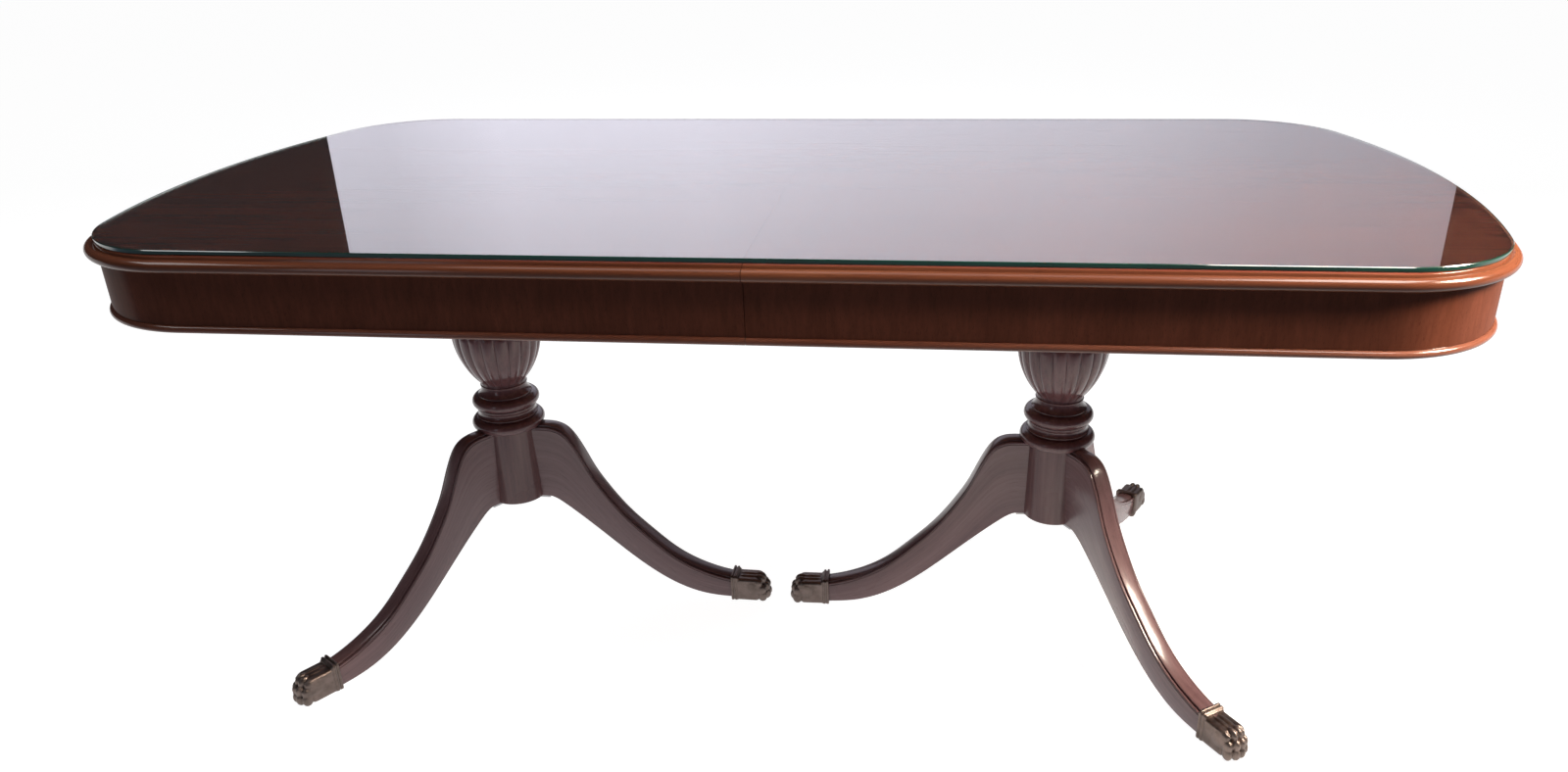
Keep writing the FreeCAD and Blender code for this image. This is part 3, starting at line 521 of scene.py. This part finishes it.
def glass_pane():
    """The pane, its rim faces in the green edge glass."""
    loop = []
    for x, y, nx, ny, _ in half_path(1)[1:-1] + half_path(-1)[-2:0:-1]:
        loop.append((x + math.copysign(GLASS_END_REACH, x), y, nx, ny))
    rings = ((ARRIS, GLASS_LOW), (0.0, GLASS_LOW + ARRIS), (0.0, GLASS_HIGH - ARRIS), (ARRIS, GLASS_HIGH))
    points = []
    for inset, height in rings:
        for x, y, nx, ny in loop:
            points.append((x - nx * (GLASS_INSET + inset), y - ny * (GLASS_INSET + inset), height))
    piece = make_piece("glass_pane", points, ring_skin(len(rings), len(loop)), crease=30.0)
    piece.data.materials.append(pane_glass)
    piece.data.materials.append(pane_edge)
    # all faces but the two caps belong to the rim
    for polygon in piece.data.polygons[:-2]:
        polygon.material_index = 1
    return piece


pane = glass_pane()
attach(pane, "glass_top")
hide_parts("glass_top")
print("glass pane", len(pane.data.polygons), "faces")

# %% [markdown]
# ## The turned columns
#
# Each column is turned on a lathe from one blank: a plain drum for the legs, two tori with a hollow
# scotia between, a narrow neck, and an urn.  The urn is then carved with reeds, convex ribs parted
# by sharp valleys.  A lathe profile is a list of radius and height; the reeds are a ripple of the
# radius round the axis, half a circle to each rib, that fades out at the foot and the rim.

# %% Column profile
DRUM_RADIUS, DRUM_BOTTOM = 48.0, 190.0
# half height of both tori, then the height of the middle and the radius of each
TORUS = 10.5
LOWER_TORUS, UPPER_TORUS = (336.0, 60.8), (375.0, 56.0)
# radius and height where the urn starts, is widest, ends, and where the hollow meets the shaft
NECK = (37.0, 406.0)
URN_WIDEST, URN_TOP = (73.0, 500.0), (67.0, 512.0)
CAP_RADIUS, CAP_HEIGHT = 76.0, 12.0
SHAFT = (46.0, 560.0)
COLUMN_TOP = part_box("left_pedestal_head")[0].z / MM
# radii of the small flats beside the scotia, and of the scotia's hollow
LOWER_FLAT, UPPER_FLAT, SCOTIA = 50.4, 49.6, 46.5
print("column from", DRUM_BOTTOM, "to", round(COLUMN_TOP, 1), "mm")


def column_profile():
    """Radius and height from the drum's foot to the underside of the pedestal head."""
    low_z, low_r = LOWER_TORUS
    up_z, up_r = UPPER_TORUS
    low_core, up_core = low_r - TORUS, up_r - TORUS
    low_top, up_bottom, up_top = low_z + TORUS, up_z - TORUS, up_z + TORUS
    # the plain drum and the lower torus
    line = [(DRUM_RADIUS - 1, DRUM_BOTTOM), (DRUM_RADIUS, DRUM_BOTTOM + 1)]
    line += [(DRUM_RADIUS, DRUM_BOTTOM + (low_z - TORUS - DRUM_BOTTOM) * i / 4) for i in range(1, 5)]
    line += [(low_core, low_z - TORUS)]
    line += arc_points((low_core, low_z - TORUS), (low_r, low_z), (low_core, low_top), 14)
    # the scotia between its two flats, and the upper torus
    line += [(LOWER_FLAT, low_top + 0.2), (LOWER_FLAT, low_top + 2.8), (LOWER_FLAT - 0.6, low_top + 3.2)]
    line += arc_points(line[-1], (SCOTIA, (low_z + up_z) / 2), (UPPER_FLAT - 1.0, up_bottom - 3.2), 8)
    line += [(UPPER_FLAT, up_bottom - 2.9), (UPPER_FLAT, up_bottom - 0.2), (up_core, up_bottom)]
    line += arc_points((up_core, up_bottom), (up_r, up_z), (up_core, up_top), 14)
    # the neck, and the fine bead at the urn's foot
    line += [(44.6, up_top + 0.4), (44.4, up_top + 2.4)]
    line += arc_points(line[-1], (39.2, 394.5), (NECK[0] + 0.4, NECK[1] - 4.6), 6)
    line += arc_points((NECK[0] + 0.4, NECK[1] - 4.4), (38.8, NECK[1] - 2.2), (NECK[0] + 0.4, NECK[1]), 6)
    # the urn swells out and rounds over to its rim
    foot = (NECK[0], NECK[1] + 3)
    via = (foot[0] + (URN_WIDEST[0] - foot[0]) * 0.72, foot[1] + (URN_WIDEST[1] - foot[1]) * 0.45)
    line += [foot] + arc_points(foot, via, URN_WIDEST, 44)
    line += arc_points(URN_WIDEST, (71.0, 507.0), URN_TOP, 5)
    # the cap, and the hollow above it that runs into the shaft
    cap_bottom, cap_top = URN_TOP[1], URN_TOP[1] + CAP_HEIGHT
    line += [(CAP_RADIUS - 6, cap_bottom + 0.2)]
    line += arc_points(line[-1], (CAP_RADIUS, cap_bottom + 6), (CAP_RADIUS - 6, cap_top), 10)
    line += [(CAP_RADIUS - 9, cap_top + 0.3)]
    line += arc_points(line[-1], (51.0, 542.0), SHAFT, 12)
    line += [(SHAFT[0], COLUMN_TOP - 8), (SHAFT[0], COLUMN_TOP)]
    return line


# %% Reeds and the turned body
REEDS, REED_DEPTH = 20, 3.2
# where the reeds start and end, and over how many millimetres they fade
REED_FOOT, REED_FOOT_FADE = NECK[1] + 2.5, 5.0
REED_RIM, REED_RIM_FADE = URN_WIDEST[1] + 7.0, 6.0
# how much of a half circle each rib shows, and how deep its valleys then are
RIB_ROUND, RIB_VALLEY = 0.94, 0.755
ROUND_STEPS = 320


def reed_share(height):
    """How deep the reeds are cut at a height: nothing at the foot and rim, full between."""
    rise = (height - REED_FOOT) / REED_FOOT_FADE
    fall = (REED_RIM - height) / REED_RIM_FADE
    share = max(0.0, min(1.0, rise, fall))
    return math.sqrt(share)


def turned_column(name, facing):
    """The column with its reeded urn, closed by a flat face at its foot and at its top."""
    line = column_profile()
    points = []
    for radius, height in line:
        depth = REED_DEPTH * reed_share(height) / RIB_VALLEY * radius / URN_WIDEST[0]
        for i in range(ROUND_STEPS):
            turn = math.tau * i / ROUND_STEPS
            across = 2.0 * ((turn * REEDS / math.tau) % 1.0) - 1.0
            valley = 1.0 - math.sqrt(1.0 - RIB_ROUND * across * across)
            r = radius - depth * valley
            points.append((PEDESTAL_PLACES[facing] + r * math.cos(turn), r * math.sin(turn), height))
    return make_piece(name, points, ring_skin(len(line), ROUND_STEPS), crease=32.0)


# %% Both columns
for side, facing in SIDES:
    piece = turned_column(f"{side}_turned_column", facing)
    piece.data.materials.append(turned_wood)
    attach(piece, f"{side}_half")
    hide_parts(f"{side}_column")
    print(piece.name, len(piece.data.polygons), "faces")

# %% [markdown]
# ## The sabre legs
#
# A sabre leg is bandsawn from a plank: flat sides, with a back that rolls over a shoulder and
# sweeps down, and a belly that follows it, thinner towards the toe.  The back is then moulded: a
# broad, gently rounded crown, a deep quirk along each side of it, a small bead that lies lower
# outside the quirk, and a scratched line below the bead.  The sides draw in a little towards the
# belly.  Here the back and the belly are smooth curves through the points of a template, and one
# section is fitted between them at each step.

# %% Curves of the leg
LEG_END = 420.0
LEG_RUN = LEG_END - DRUM_RADIUS
LEG_TOP = LOWER_TORUS[0] - TORUS
# shares of the run from the drum, and of the height of the leg's top or of the drum's bottom
BACK_CURVE = ((0.03, 1.016), (0.085, 1.013), (0.127, 0.995), (0.16, 0.958), (0.182, 0.917), (0.208, 0.857),
              (0.25, 0.75), (0.305, 0.645), (0.405, 0.494), (0.503, 0.383), (0.624, 0.264), (0.772, 0.178),
              (0.903, 0.141), (1.0, 0.132))
BELLY_CURVE = ((0.035, 1.0), (0.1, 0.93), (0.169, 0.824), (0.32, 0.574), (0.476, 0.321),
               (0.634, 0.13), (0.763, 0.048), (0.903, 0.027), (1.0, 0.026))
# directions in which each curve leaves the drum and reaches the toe
BACK_ENDS = ((1, 0), (1, -0.05))
BELLY_ENDS = ((1, -0.2), (1, 0))
LEG_STEPS = 90
SPAN_STEPS = 60


def smooth_through(knots, start_slope, end_slope, count):
    """Evenly walked points of the cubic spline through the knots, with given end directions."""
    knots = np.array(knots, float)
    spans = np.linalg.norm(np.diff(knots, axis=0), axis=1)
    n = len(knots)
    system = np.zeros((n, n))
    right = np.zeros((n, 2))
    system[0, 0] = system[-1, -1] = 1
    right[0], right[-1] = start_slope, end_slope
    for i in range(1, n - 1):
        before, after = spans[i - 1], spans[i]
        system[i, i - 1:i + 2] = after, 2 * (before + after), before
        right[i] = 3 * after / before * (knots[i] - knots[i - 1])
        right[i] += 3 * before / after * (knots[i + 1] - knots[i])
    slopes = np.linalg.solve(system, right)
    fine = []
    for i in range(n - 1):
        u = np.linspace(0, 1, SPAN_STEPS, endpoint=(i == n - 2))[:, None]
        h = spans[i]
        fine.append((2 * u**3 - 3 * u**2 + 1) * knots[i] + (u**3 - 2 * u**2 + u) * h * slopes[i]
                    + (-2 * u**3 + 3 * u**2) * knots[i + 1] + (u**3 - u**2) * h * slopes[i + 1])
    fine = np.vstack(fine)
    walked = np.concatenate([[0], np.cumsum(np.linalg.norm(np.diff(fine, axis=0), axis=1))])
    even = np.linspace(0, walked[-1], count)
    return np.stack([np.interp(even, walked, fine[:, 0]), np.interp(even, walked, fine[:, 1])], 1)


def leg_curves():
    """Back and belly of the leg as (distance from the column's axis, height)."""
    back = [(DRUM_RADIUS + share * LEG_RUN, height * LEG_TOP) for share, height in BACK_CURVE]
    belly = [(DRUM_RADIUS + share * LEG_RUN, height * DRUM_BOTTOM) for share, height in BELLY_CURVE]
    return smooth_through(back, *BACK_ENDS, LEG_STEPS), smooth_through(belly, *BELLY_ENDS, LEG_STEPS)


print("leg from", LEG_TOP, "mm high down to the toe")

# %% The leg's section and skin
HALF_THICK = 17.0
# how much each side draws in per millimetre of depth below the mouldings
TAPER = 0.055
# one side of the moulded back, from the flank to the middle: half width, and depth below the crown
HALF_SECTION = ((17.0, 9.4), (16.0, 8.8), (16.0, 7.9), (17.0, 7.3), (17.0, 5.6), (16.5, 4.6), (15.4, 4.0),
                (14.2, 4.0), (13.4, 4.8), (13.3, 6.6), (12.1, 6.6), (12.0, 2.3), (11.6, 1.6), (10.8, 1.2),
                (9.0, 0.7), (5.0, 0.2), (0.0, 0.0))
BELLY_ROUND = 1.6
# how far the root reaches into the drum
ROOT_DEPTH = 5.0
# where across the timber a leg is sawn, and how much further along it the next one is
LEG_ACROSS, NEXT_LEG = 200.0, 900.0


def leg_mesh():
    """A leg along +X from the column's axis, from a flat root inside the drum to the toe."""
    back, belly = leg_curves()
    root = DRUM_RADIUS - ROOT_DEPTH
    crown = back[0][1]
    back = np.vstack([[(root, crown)], [((root + back[0][0]) / 2, crown)], back])
    belly = np.vstack([[(root, DRUM_BOTTOM)], [((root + belly[0][0]) / 2, DRUM_BOTTOM)], belly])
    points, grain = [], []
    gone, last = 0.0, None
    for top, low in zip(back, belly):
        depth = np.linalg.norm(top - low)
        up = (top - low) / depth
        middle = (top + low) / 2
        gone += 0.0 if last is None else np.linalg.norm(middle - last)
        last = middle
        thin = HALF_THICK - TAPER * (depth - HALF_SECTION[0][1])
        half = [(thin - BELLY_ROUND, depth), (thin - 0.4, depth - 0.5), (thin, depth - BELLY_ROUND)]
        half += HALF_SECTION
        ring = half + [(-y, down) for y, down in reversed(half[:-1])]
        for y, down in ring:
            place = top - up * down
            points.append((place[0], y, place[1]))
            grain.append((gone, y + LEG_ACROSS, depth * 0.5 - down))
    return points, ring_skin(len(back), len(ring), flip=True), grain


def place_round(points, angle, facing):
    """Turn points of a piece that points along +X to its leg's direction and pedestal."""
    turn = math.radians(angle)
    placed = []
    for x, y, z in points:
        out = x * math.cos(turn) - y * math.sin(turn)
        placed.append((PEDESTAL_PLACES[facing] - facing * out, x * math.sin(turn) + y * math.cos(turn), z))
    return placed


# %% Six sabre legs
# degrees round the column, from the direction of the seam
LEG_ANGLES = (("inner", -1.5), ("front", -124.0), ("back", 118.5))
leg_points, leg_faces, leg_grain = leg_mesh()
sawn = 0.0
for side, facing in SIDES:
    for leg_name, angle in LEG_ANGLES:
        faces = leg_faces if facing < 0 else turned_over(leg_faces)
        grain = [(along + sawn, across, down) for along, across, down in leg_grain]
        places = place_round(leg_points, angle, facing)
        piece = make_piece(f"{side}_{leg_name}_sabre_leg", places, faces, grain, crease=30.0)
        piece.data.materials.append(leg_wood)
        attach(piece, f"{side}_half")
        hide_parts(f"{side}_{leg_name}_leg")
        sawn += NEXT_LEG
print("six sabre legs of", len(leg_faces), "faces")

# %% [markdown]
# ## The lion-paw sabots
#
# The feet are hollow brass castings: a banded collar round the leg's end, a fluted instep and a paw
# with knuckles and toes.  A carver cuts the pattern for such a casting in swelling forms that flow
# into each other.  Blender's voxel remesh gives the same: rounded lumps go in, and one smooth skin
# comes out.  All six feet are cast from the one pattern.

# %% Lumps of the paw
SABOT_START, SABOT_END = 380.0, 450.0
PAW_VOXEL, PAW_SMOOTHING = 0.9, 4
# the socket behind the toes: half width, bottom, top and how much its edges are rounded
SOCKET_HALF_WIDTH, SOCKET_LOW, SOCKET_HIGH, SOCKET_ROUND = 19.4, 0.6, 44.5, 5.5
# to each side of the middle: the inner toe, the outer toe and the cheek
INNER_TOE, OUTER_TOE, CHEEK = 4.8, 14.4, 18.6
# the outer toes end this much further back, and lie this much lower
OUTER_BACK, OUTER_LOWER = 5.0, 3.5


def lump(centre, size, tilt=0.0):
    """A rounded lump: centre and half sizes in millimetres, tilted nose-down by tilt degrees."""
    bpy.ops.mesh.primitive_uv_sphere_add(segments=28, ring_count=18, radius=1.0)
    ball = bpy.context.object
    ball.scale = [s * MM for s in size]
    ball.rotation_euler = (0, math.radians(tilt), 0)
    ball.location = [c * MM for c in centre]
    return ball


def slab(low, high, round_by):
    """A rounded block between two corners."""
    bpy.ops.mesh.primitive_cube_add(size=1.0)
    block = bpy.context.object
    block.scale = [(h - l) * MM for l, h in zip(low, high)]
    block.location = [(l + h) / 2 * MM for l, h in zip(low, high)]
    bpy.ops.object.transform_apply()
    soften = block.modifiers.new("soften", "BEVEL")
    soften.width = round_by * MM
    soften.segments = 4
    return block


def paw_lumps():
    """Socket, cheeks, and four toes: a rib on the instep, two knuckles and an upright tip each."""
    lumps = [slab((SABOT_START + 8, -SOCKET_HALF_WIDTH, SOCKET_LOW),
                  (SABOT_END - 20, SOCKET_HALF_WIDTH, SOCKET_HIGH), SOCKET_ROUND)]
    for y in (-OUTER_TOE, -INNER_TOE, INNER_TOE, OUTER_TOE):
        outer = abs(y) > INNER_TOE
        tip = SABOT_END - (OUTER_BACK if outer else 0.0)
        lower = OUTER_LOWER if outer else 0.0
        # rib, upper knuckle, lower knuckle and tip
        lumps += [lump((SABOT_START + 33, y * 0.95, 41.0 - lower * 0.6), (24, 4.7, 5.6), 1.0),
                  lump((tip - 19.5, y, 38.0 - lower), (11.0, 5.9, 9.6), 24.0),
                  lump((tip - 11.5, y * 1.04, 25.0 - lower * 0.6), (9.6, 5.9, 10.5), 20.0),
                  lump((tip - 8.9, y * 1.07, 11.5), (8.6, 5.8, 11.2))]
    lumps += [lump((SABOT_END - 30, y, 27.0), (13, 2.6, 12.0), 14.0) for y in (-CHEEK, CHEEK)]
    return lumps


def fuse_lumps(lumps, name, voxel, smooth):
    """Join, remesh into one skin, smooth, and return the finished mesh as points and faces."""
    graph = bpy.context.evaluated_depsgraph_get()
    points, faces = [], []
    for piece in lumps:
        seen = piece.evaluated_get(graph)
        mesh = seen.to_mesh()
        base = len(points)
        points += [tuple(piece.matrix_world @ v.co) for v in mesh.vertices]
        faces += [tuple(base + i for i in p.vertices) for p in mesh.polygons]
        seen.to_mesh_clear()
    for piece in lumps:
        bpy.data.objects.remove(piece)
    mesh = bpy.data.meshes.new(name)
    mesh.from_pydata(points, [], faces)
    whole = new_object(name, mesh)
    remesh = whole.modifiers.new("skin", "REMESH")
    remesh.mode = "VOXEL"
    remesh.voxel_size = voxel * MM
    soften = whole.modifiers.new("soften", "SMOOTH")
    soften.factor = 0.5
    soften.iterations = smooth
    graph = bpy.context.evaluated_depsgraph_get()
    skin = bpy.data.meshes.new_from_object(whole.evaluated_get(graph))
    bpy.data.objects.remove(whole)
    points = [tuple(c / MM for c in v.co) for v in skin.vertices]
    faces = [tuple(p.vertices) for p in skin.polygons]
    bpy.data.meshes.remove(skin)
    return points, faces


# %% Collar of the sabot
# rings of the collar: how far past the sabot's start each lies, and how far it stands proud
COLLAR_RINGS = ((0.2, 1.2), (0.2, 2.6), (1.2, 3.4), (3.0, 3.6), (4.2, 3.0), (4.8, 1.9), (6.0, 1.9),
                (6.6, 3.0), (8.0, 3.5), (9.6, 3.3), (10.6, 2.2), (12.0, 1.6), (13.5, 0.8))
COLLAR_LOW, COLLAR_HIGH, COLLAR_CORNER = 0.3, 46.4, 4.5
# the collar's top stands prouder than its sides by this factor, and falls this much per millimetre
TOP_PROUDER, TOP_FALL = 1.35, 0.1
CORNER_POINTS = 6
# the paw's sole is ground flat at this height
SOLE = 0.05


def rounded_rectangle(half, low, high, corner):
    """Points round an upright rectangle with rounded corners, seen along X."""
    ring = []
    for cy, cz, first in ((half - corner, high - corner, 0), (-half + corner, high - corner, 90),
                          (-half + corner, low + corner, 180), (half - corner, low + corner, 270)):
        for i in range(CORNER_POINTS + 1):
            turn = math.radians(first + 90.0 * i / CORNER_POINTS)
            ring.append((cy + corner * math.cos(turn), cz + corner * math.sin(turn)))
    return ring


def collar_mesh():
    """The double band round the leg's end, with its raised top."""
    points = []
    for past, proud in COLLAR_RINGS:
        high = COLLAR_HIGH + proud * TOP_PROUDER - past * TOP_FALL
        ring = rounded_rectangle(HALF_THICK + proud, COLLAR_LOW, high, COLLAR_CORNER)
        points += [(SABOT_START + past, y, z) for y, z in ring]
    return points, ring_skin(len(COLLAR_RINGS), len(ring), flip=True)


# %% Six sabots
paw_points, paw_faces = fuse_lumps(paw_lumps(), "paw_pattern", PAW_VOXEL, PAW_SMOOTHING)
paw_points = [(x, y, max(z, SOLE)) for x, y, z in paw_points]
collar_points, collar_faces = collar_mesh()
sabot_points = paw_points + collar_points
sabot_faces = paw_faces + [tuple(len(paw_points) + i for i in face) for face in collar_faces]
for side, facing in SIDES:
    for leg_name, angle in LEG_ANGLES:
        faces = sabot_faces if facing < 0 else turned_over(sabot_faces)
        places = place_round(sabot_points, angle, facing)
        piece = make_piece(f"{side}_{leg_name}_lion_paw", places, faces, crease=50.0)
        piece.data.materials.append(foot_brass)
        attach(piece, f"{side}_half")
        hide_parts(f"{side}_{leg_name}_sabot")
print("paw pattern", len(paw_faces), "faces")

# %% [markdown]
# ## Pieces that keep their CAD shape
#
# Panels, blocks, bearers, rails, plates and screws are flat sawn or stamped pieces, and the CAD
# shape is already right.  Each only needs its finish.

# %% Finishes for the CAD pieces
def finish_node(name, material):
    """Give a CAD piece its finish."""
    mesh = nodes[name].data
    mesh.materials.clear()
    mesh.materials.append(material)


for side, _ in SIDES:
    finish_node(f"{side}_top_panel", top_veneer)
    for name in ("apron_blocks", "bearers", "pedestal_head"):
        finish_node(f"{side}_{name}", beech)
    for name in ("spider_plate", "pedestal_screws", "rail_screws"):
        finish_node(f"{side}_{name}", steel)
for row in ("front", "back"):
    for rail in ("left", "middle", "right"):
        finish_node(f"{row}_{rail}_rail", beech)
    finish_node(f"{row}_lock_lever", lock_brass)
for name in ("lock_plates", "lock_keepers", "seam_dowels"):
    finish_node(name, lock_brass)
print("CAD pieces finished")

# %% [markdown]
# ## Studio
#
# A plain pale floor and soft light.  The floor glows a little by itself, like a light table, so it
# lights the legs from below and hardly shows a shadow.  It is bright under and behind the table and
# falls off in front of it, and that keeps the polished aprons dark.

# %% Floor
# where along Y, in metres, the floor starts to brighten and is fully bright, and its glow at each
FLOOR_DIM_AT, FLOOR_BRIGHT_AT = -1.2, -0.42
FLOOR_DIM, FLOOR_BRIGHT = 0.2, 0.97


def studio_floor():
    """A wide matt floor, bright under and behind the table, dimmer in front."""
    bpy.ops.mesh.primitive_plane_add(size=60.0, location=(0, 0, -0.0005))
    floor = bpy.context.object
    floor.name = "studio_floor"
    material, tree, shader = new_material("floor_matt_white")
    place = add(tree, "ShaderNodeTexCoord").outputs["Object"]
    depth = add(tree, "ShaderNodeSeparateXYZ", Vector=place).outputs["Y"]
    glow = add(tree, "ShaderNodeMapRange", {"interpolation_type": "SMOOTHSTEP"}, Value=depth,
               i1=FLOOR_DIM_AT, i2=FLOOR_BRIGHT_AT, i3=FLOOR_DIM, i4=FLOOR_BRIGHT).outputs[0]
    share = add(tree, "ShaderNodeMapRange", Value=glow, i1=FLOOR_DIM, i2=FLOOR_BRIGHT).outputs[0]
    tint = add(tree, "ShaderNodeMix", {"data_type": "RGBA"}, Factor=share, i6=linear("C4E1FF"),
               i7=linear("FFFFFF")).outputs[2]
    join(tree, shader, Emission_Strength=glow, Emission_Color=tint, Base_Color=linear("959595"),
         Roughness=0.9, Specular_IOR_Level=0.1)
    floor.data.materials.append(material)
    print(floor.name, "ready")


studio_floor()

# %% [markdown]
# Polished glass is a mirror at a low angle, so what stands behind the table matters: one broad lit
# card gives the pane its pale sheen.  The card is brightest left of its middle and fades to the
# right, and beyond its ends the glass shows the dark room and the wood under it.

# %% Back card
# all in metres: the card's ends, how far behind the table it stands, and its lower and upper edge
CARD_LEFT, CARD_RIGHT, CARD_DEPTH = -2.61, 2.35, 3.2
CARD_LOW, CARD_HIGH = 0.95, 2.4
# brightness from the left end to the right one: share of the width, and share of the paper's colour
CARD_LEVELS = ((0.0, 1.0), (0.06, 1.0), (0.17, 1.26), (0.35, 1.24), (0.5, 1.07), (0.72, 0.88),
               (0.86, 0.66), (1.0, 0.53))


def back_card():
    """A standing card whose brightness changes along its width."""
    mesh = bpy.data.meshes.new("back_card")
    corners = [(CARD_LEFT, CARD_DEPTH, CARD_LOW), (CARD_RIGHT, CARD_DEPTH, CARD_LOW),
               (CARD_RIGHT, CARD_DEPTH, CARD_HIGH), (CARD_LEFT, CARD_DEPTH, CARD_HIGH)]
    mesh.from_pydata(corners, [], [(0, 1, 2, 3)])
    card = new_object("back_card", mesh)
    material, tree, shader = new_material("card_paper_lit")
    place = add(tree, "ShaderNodeTexCoord").outputs["Object"]
    along = add(tree, "ShaderNodeSeparateXYZ", Vector=place).outputs["X"]
    share = add(tree, "ShaderNodeMapRange", Value=along, i1=CARD_LEFT, i2=CARD_RIGHT).outputs[0]
    red, green, blue, _ = linear("DBD7E5")
    stops = [(at, (level * red, level * green, level * blue, 1)) for at, level in CARD_LEVELS]
    glow = add(tree, "ShaderNodeValToRGB", {"stops": stops}, Fac=share).outputs[0]
    join(tree, shader, Emission_Color=glow, Emission_Strength=1.4, Base_Color=linear("272727"))
    card.data.materials.append(material)
    print(card.name, "ready")


back_card()

# %% [markdown]
# The light on the wood itself comes from five softboxes.  The key light stands beyond the right
# end and shines down through a honeycomb grid, a mesh of deep cells that lets light out only within
# a narrow angle (Blender calls it spread).  So it brings out the red of the rounded corner, and the
# front stays dark in the shadow of the moulded edge.  A second one above that corner and a wide one
# overhead light the moulded edge, and two weak ones at the left give the highlights on the other
# corner and on the turned drums.  The room beyond is nearly dark.

# %% World and lights
def studio_world():
    """A dim, even room."""
    world = bpy.data.worlds.new("studio")
    bpy.context.scene.world = world
    world.use_nodes = True
    tree = world.node_tree
    tree.nodes.clear()
    background = add(tree, "ShaderNodeBackground", Color=linear("F3F3FF"), Strength=0.03)
    add(tree, "ShaderNodeOutputWorld", Surface=background.outputs[0])


def softbox(name, place, target, width, height, power, colour="FFFFFF", grid=180.0):
    """A softbox in metres and watts, aimed at target; grid is the angle its honeycomb lets through."""
    light = bpy.data.lights.new(name, "AREA")
    light.shape = "RECTANGLE"
    light.size = width
    light.size_y = height
    light.energy = power
    light.color = linear(colour)[:3]
    light.spread = math.radians(grid)
    lamp = new_object(name, light)
    lamp.location = place
    lamp.rotation_euler = (Vector(target) - Vector(place)).to_track_quat("-Z", "Y").to_euler()
    print(name, power, "W")


studio_world()
softbox("right_key", (1.95, -0.6, 1.7), (0.85, -0.42, 0.71), 0.55, 0.55, 13.5, "FFF1DD", grid=50.0)
softbox("right_top", (1.2, -0.6, 2.1), (0.75, -0.45, 0.7), 1.0, 0.5, 34.0, "FFF7EF")
softbox("overhead", (0.0, -0.1, 2.6), (0.0, 0.0, 0.7), 2.4, 1.2, 18.0)
softbox("left_side", (-1.75, -0.62, 2.0), (-0.75, -0.45, 0.75), 0.9, 0.4, 6.0)
softbox("front_strip", (-1.3, -2.0, 0.9), (-0.2, 0.0, 0.4), 0.35, 1.1, 2.0, "EDF3FF")

# %% [markdown]
# ## Camera
#
# The camera stands right of the middle at about chest height, looks a little left and about 24
# degrees down, and is rolled by just over a degree.  A short lens gives the long top its strong
# perspective, and the Standard view transform shows colours as they were mixed.

# %% Camera
PIXELS_WIDE, PIXELS_HIGH = 1600, 788
FOCAL_PIXELS = 1136.6
CENTRE_PIXEL = (841.2, 401.5)
CAMERA_PLACE = (0.2347, -1.6804, 1.1369)
YAW, PITCH, ROLL = -0.1161, 0.4122, 0.0203
SENSOR_WIDTH = 36.0


def place_camera():
    """Camera from its place, three angles and focal length in pixels."""
    forward = Vector((math.sin(YAW) * math.cos(PITCH), math.cos(YAW) * math.cos(PITCH), -math.sin(PITCH)))
    level = Vector((math.cos(YAW), -math.sin(YAW), 0))
    down = forward.cross(level)
    right = level * math.cos(ROLL) + down * math.sin(ROLL)
    below = -level * math.sin(ROLL) + down * math.cos(ROLL)
    data = bpy.data.cameras.new("camera")
    data.sensor_width = SENSOR_WIDTH
    data.lens = FOCAL_PIXELS / PIXELS_WIDE * SENSOR_WIDTH
    data.shift_x = (PIXELS_WIDE / 2 - CENTRE_PIXEL[0]) / PIXELS_WIDE
    data.shift_y = (CENTRE_PIXEL[1] - PIXELS_HIGH / 2) / PIXELS_WIDE
    camera = new_object("camera", data)
    turn = Matrix((right, -below, -forward)).transposed()
    camera.matrix_world = Matrix.Translation(CAMERA_PLACE) @ turn.to_4x4()
    bpy.context.scene.camera = camera
    print("lens", round(data.lens, 2), "mm")


place_camera()
bpy.context.scene.view_settings.view_transform = "Standard"
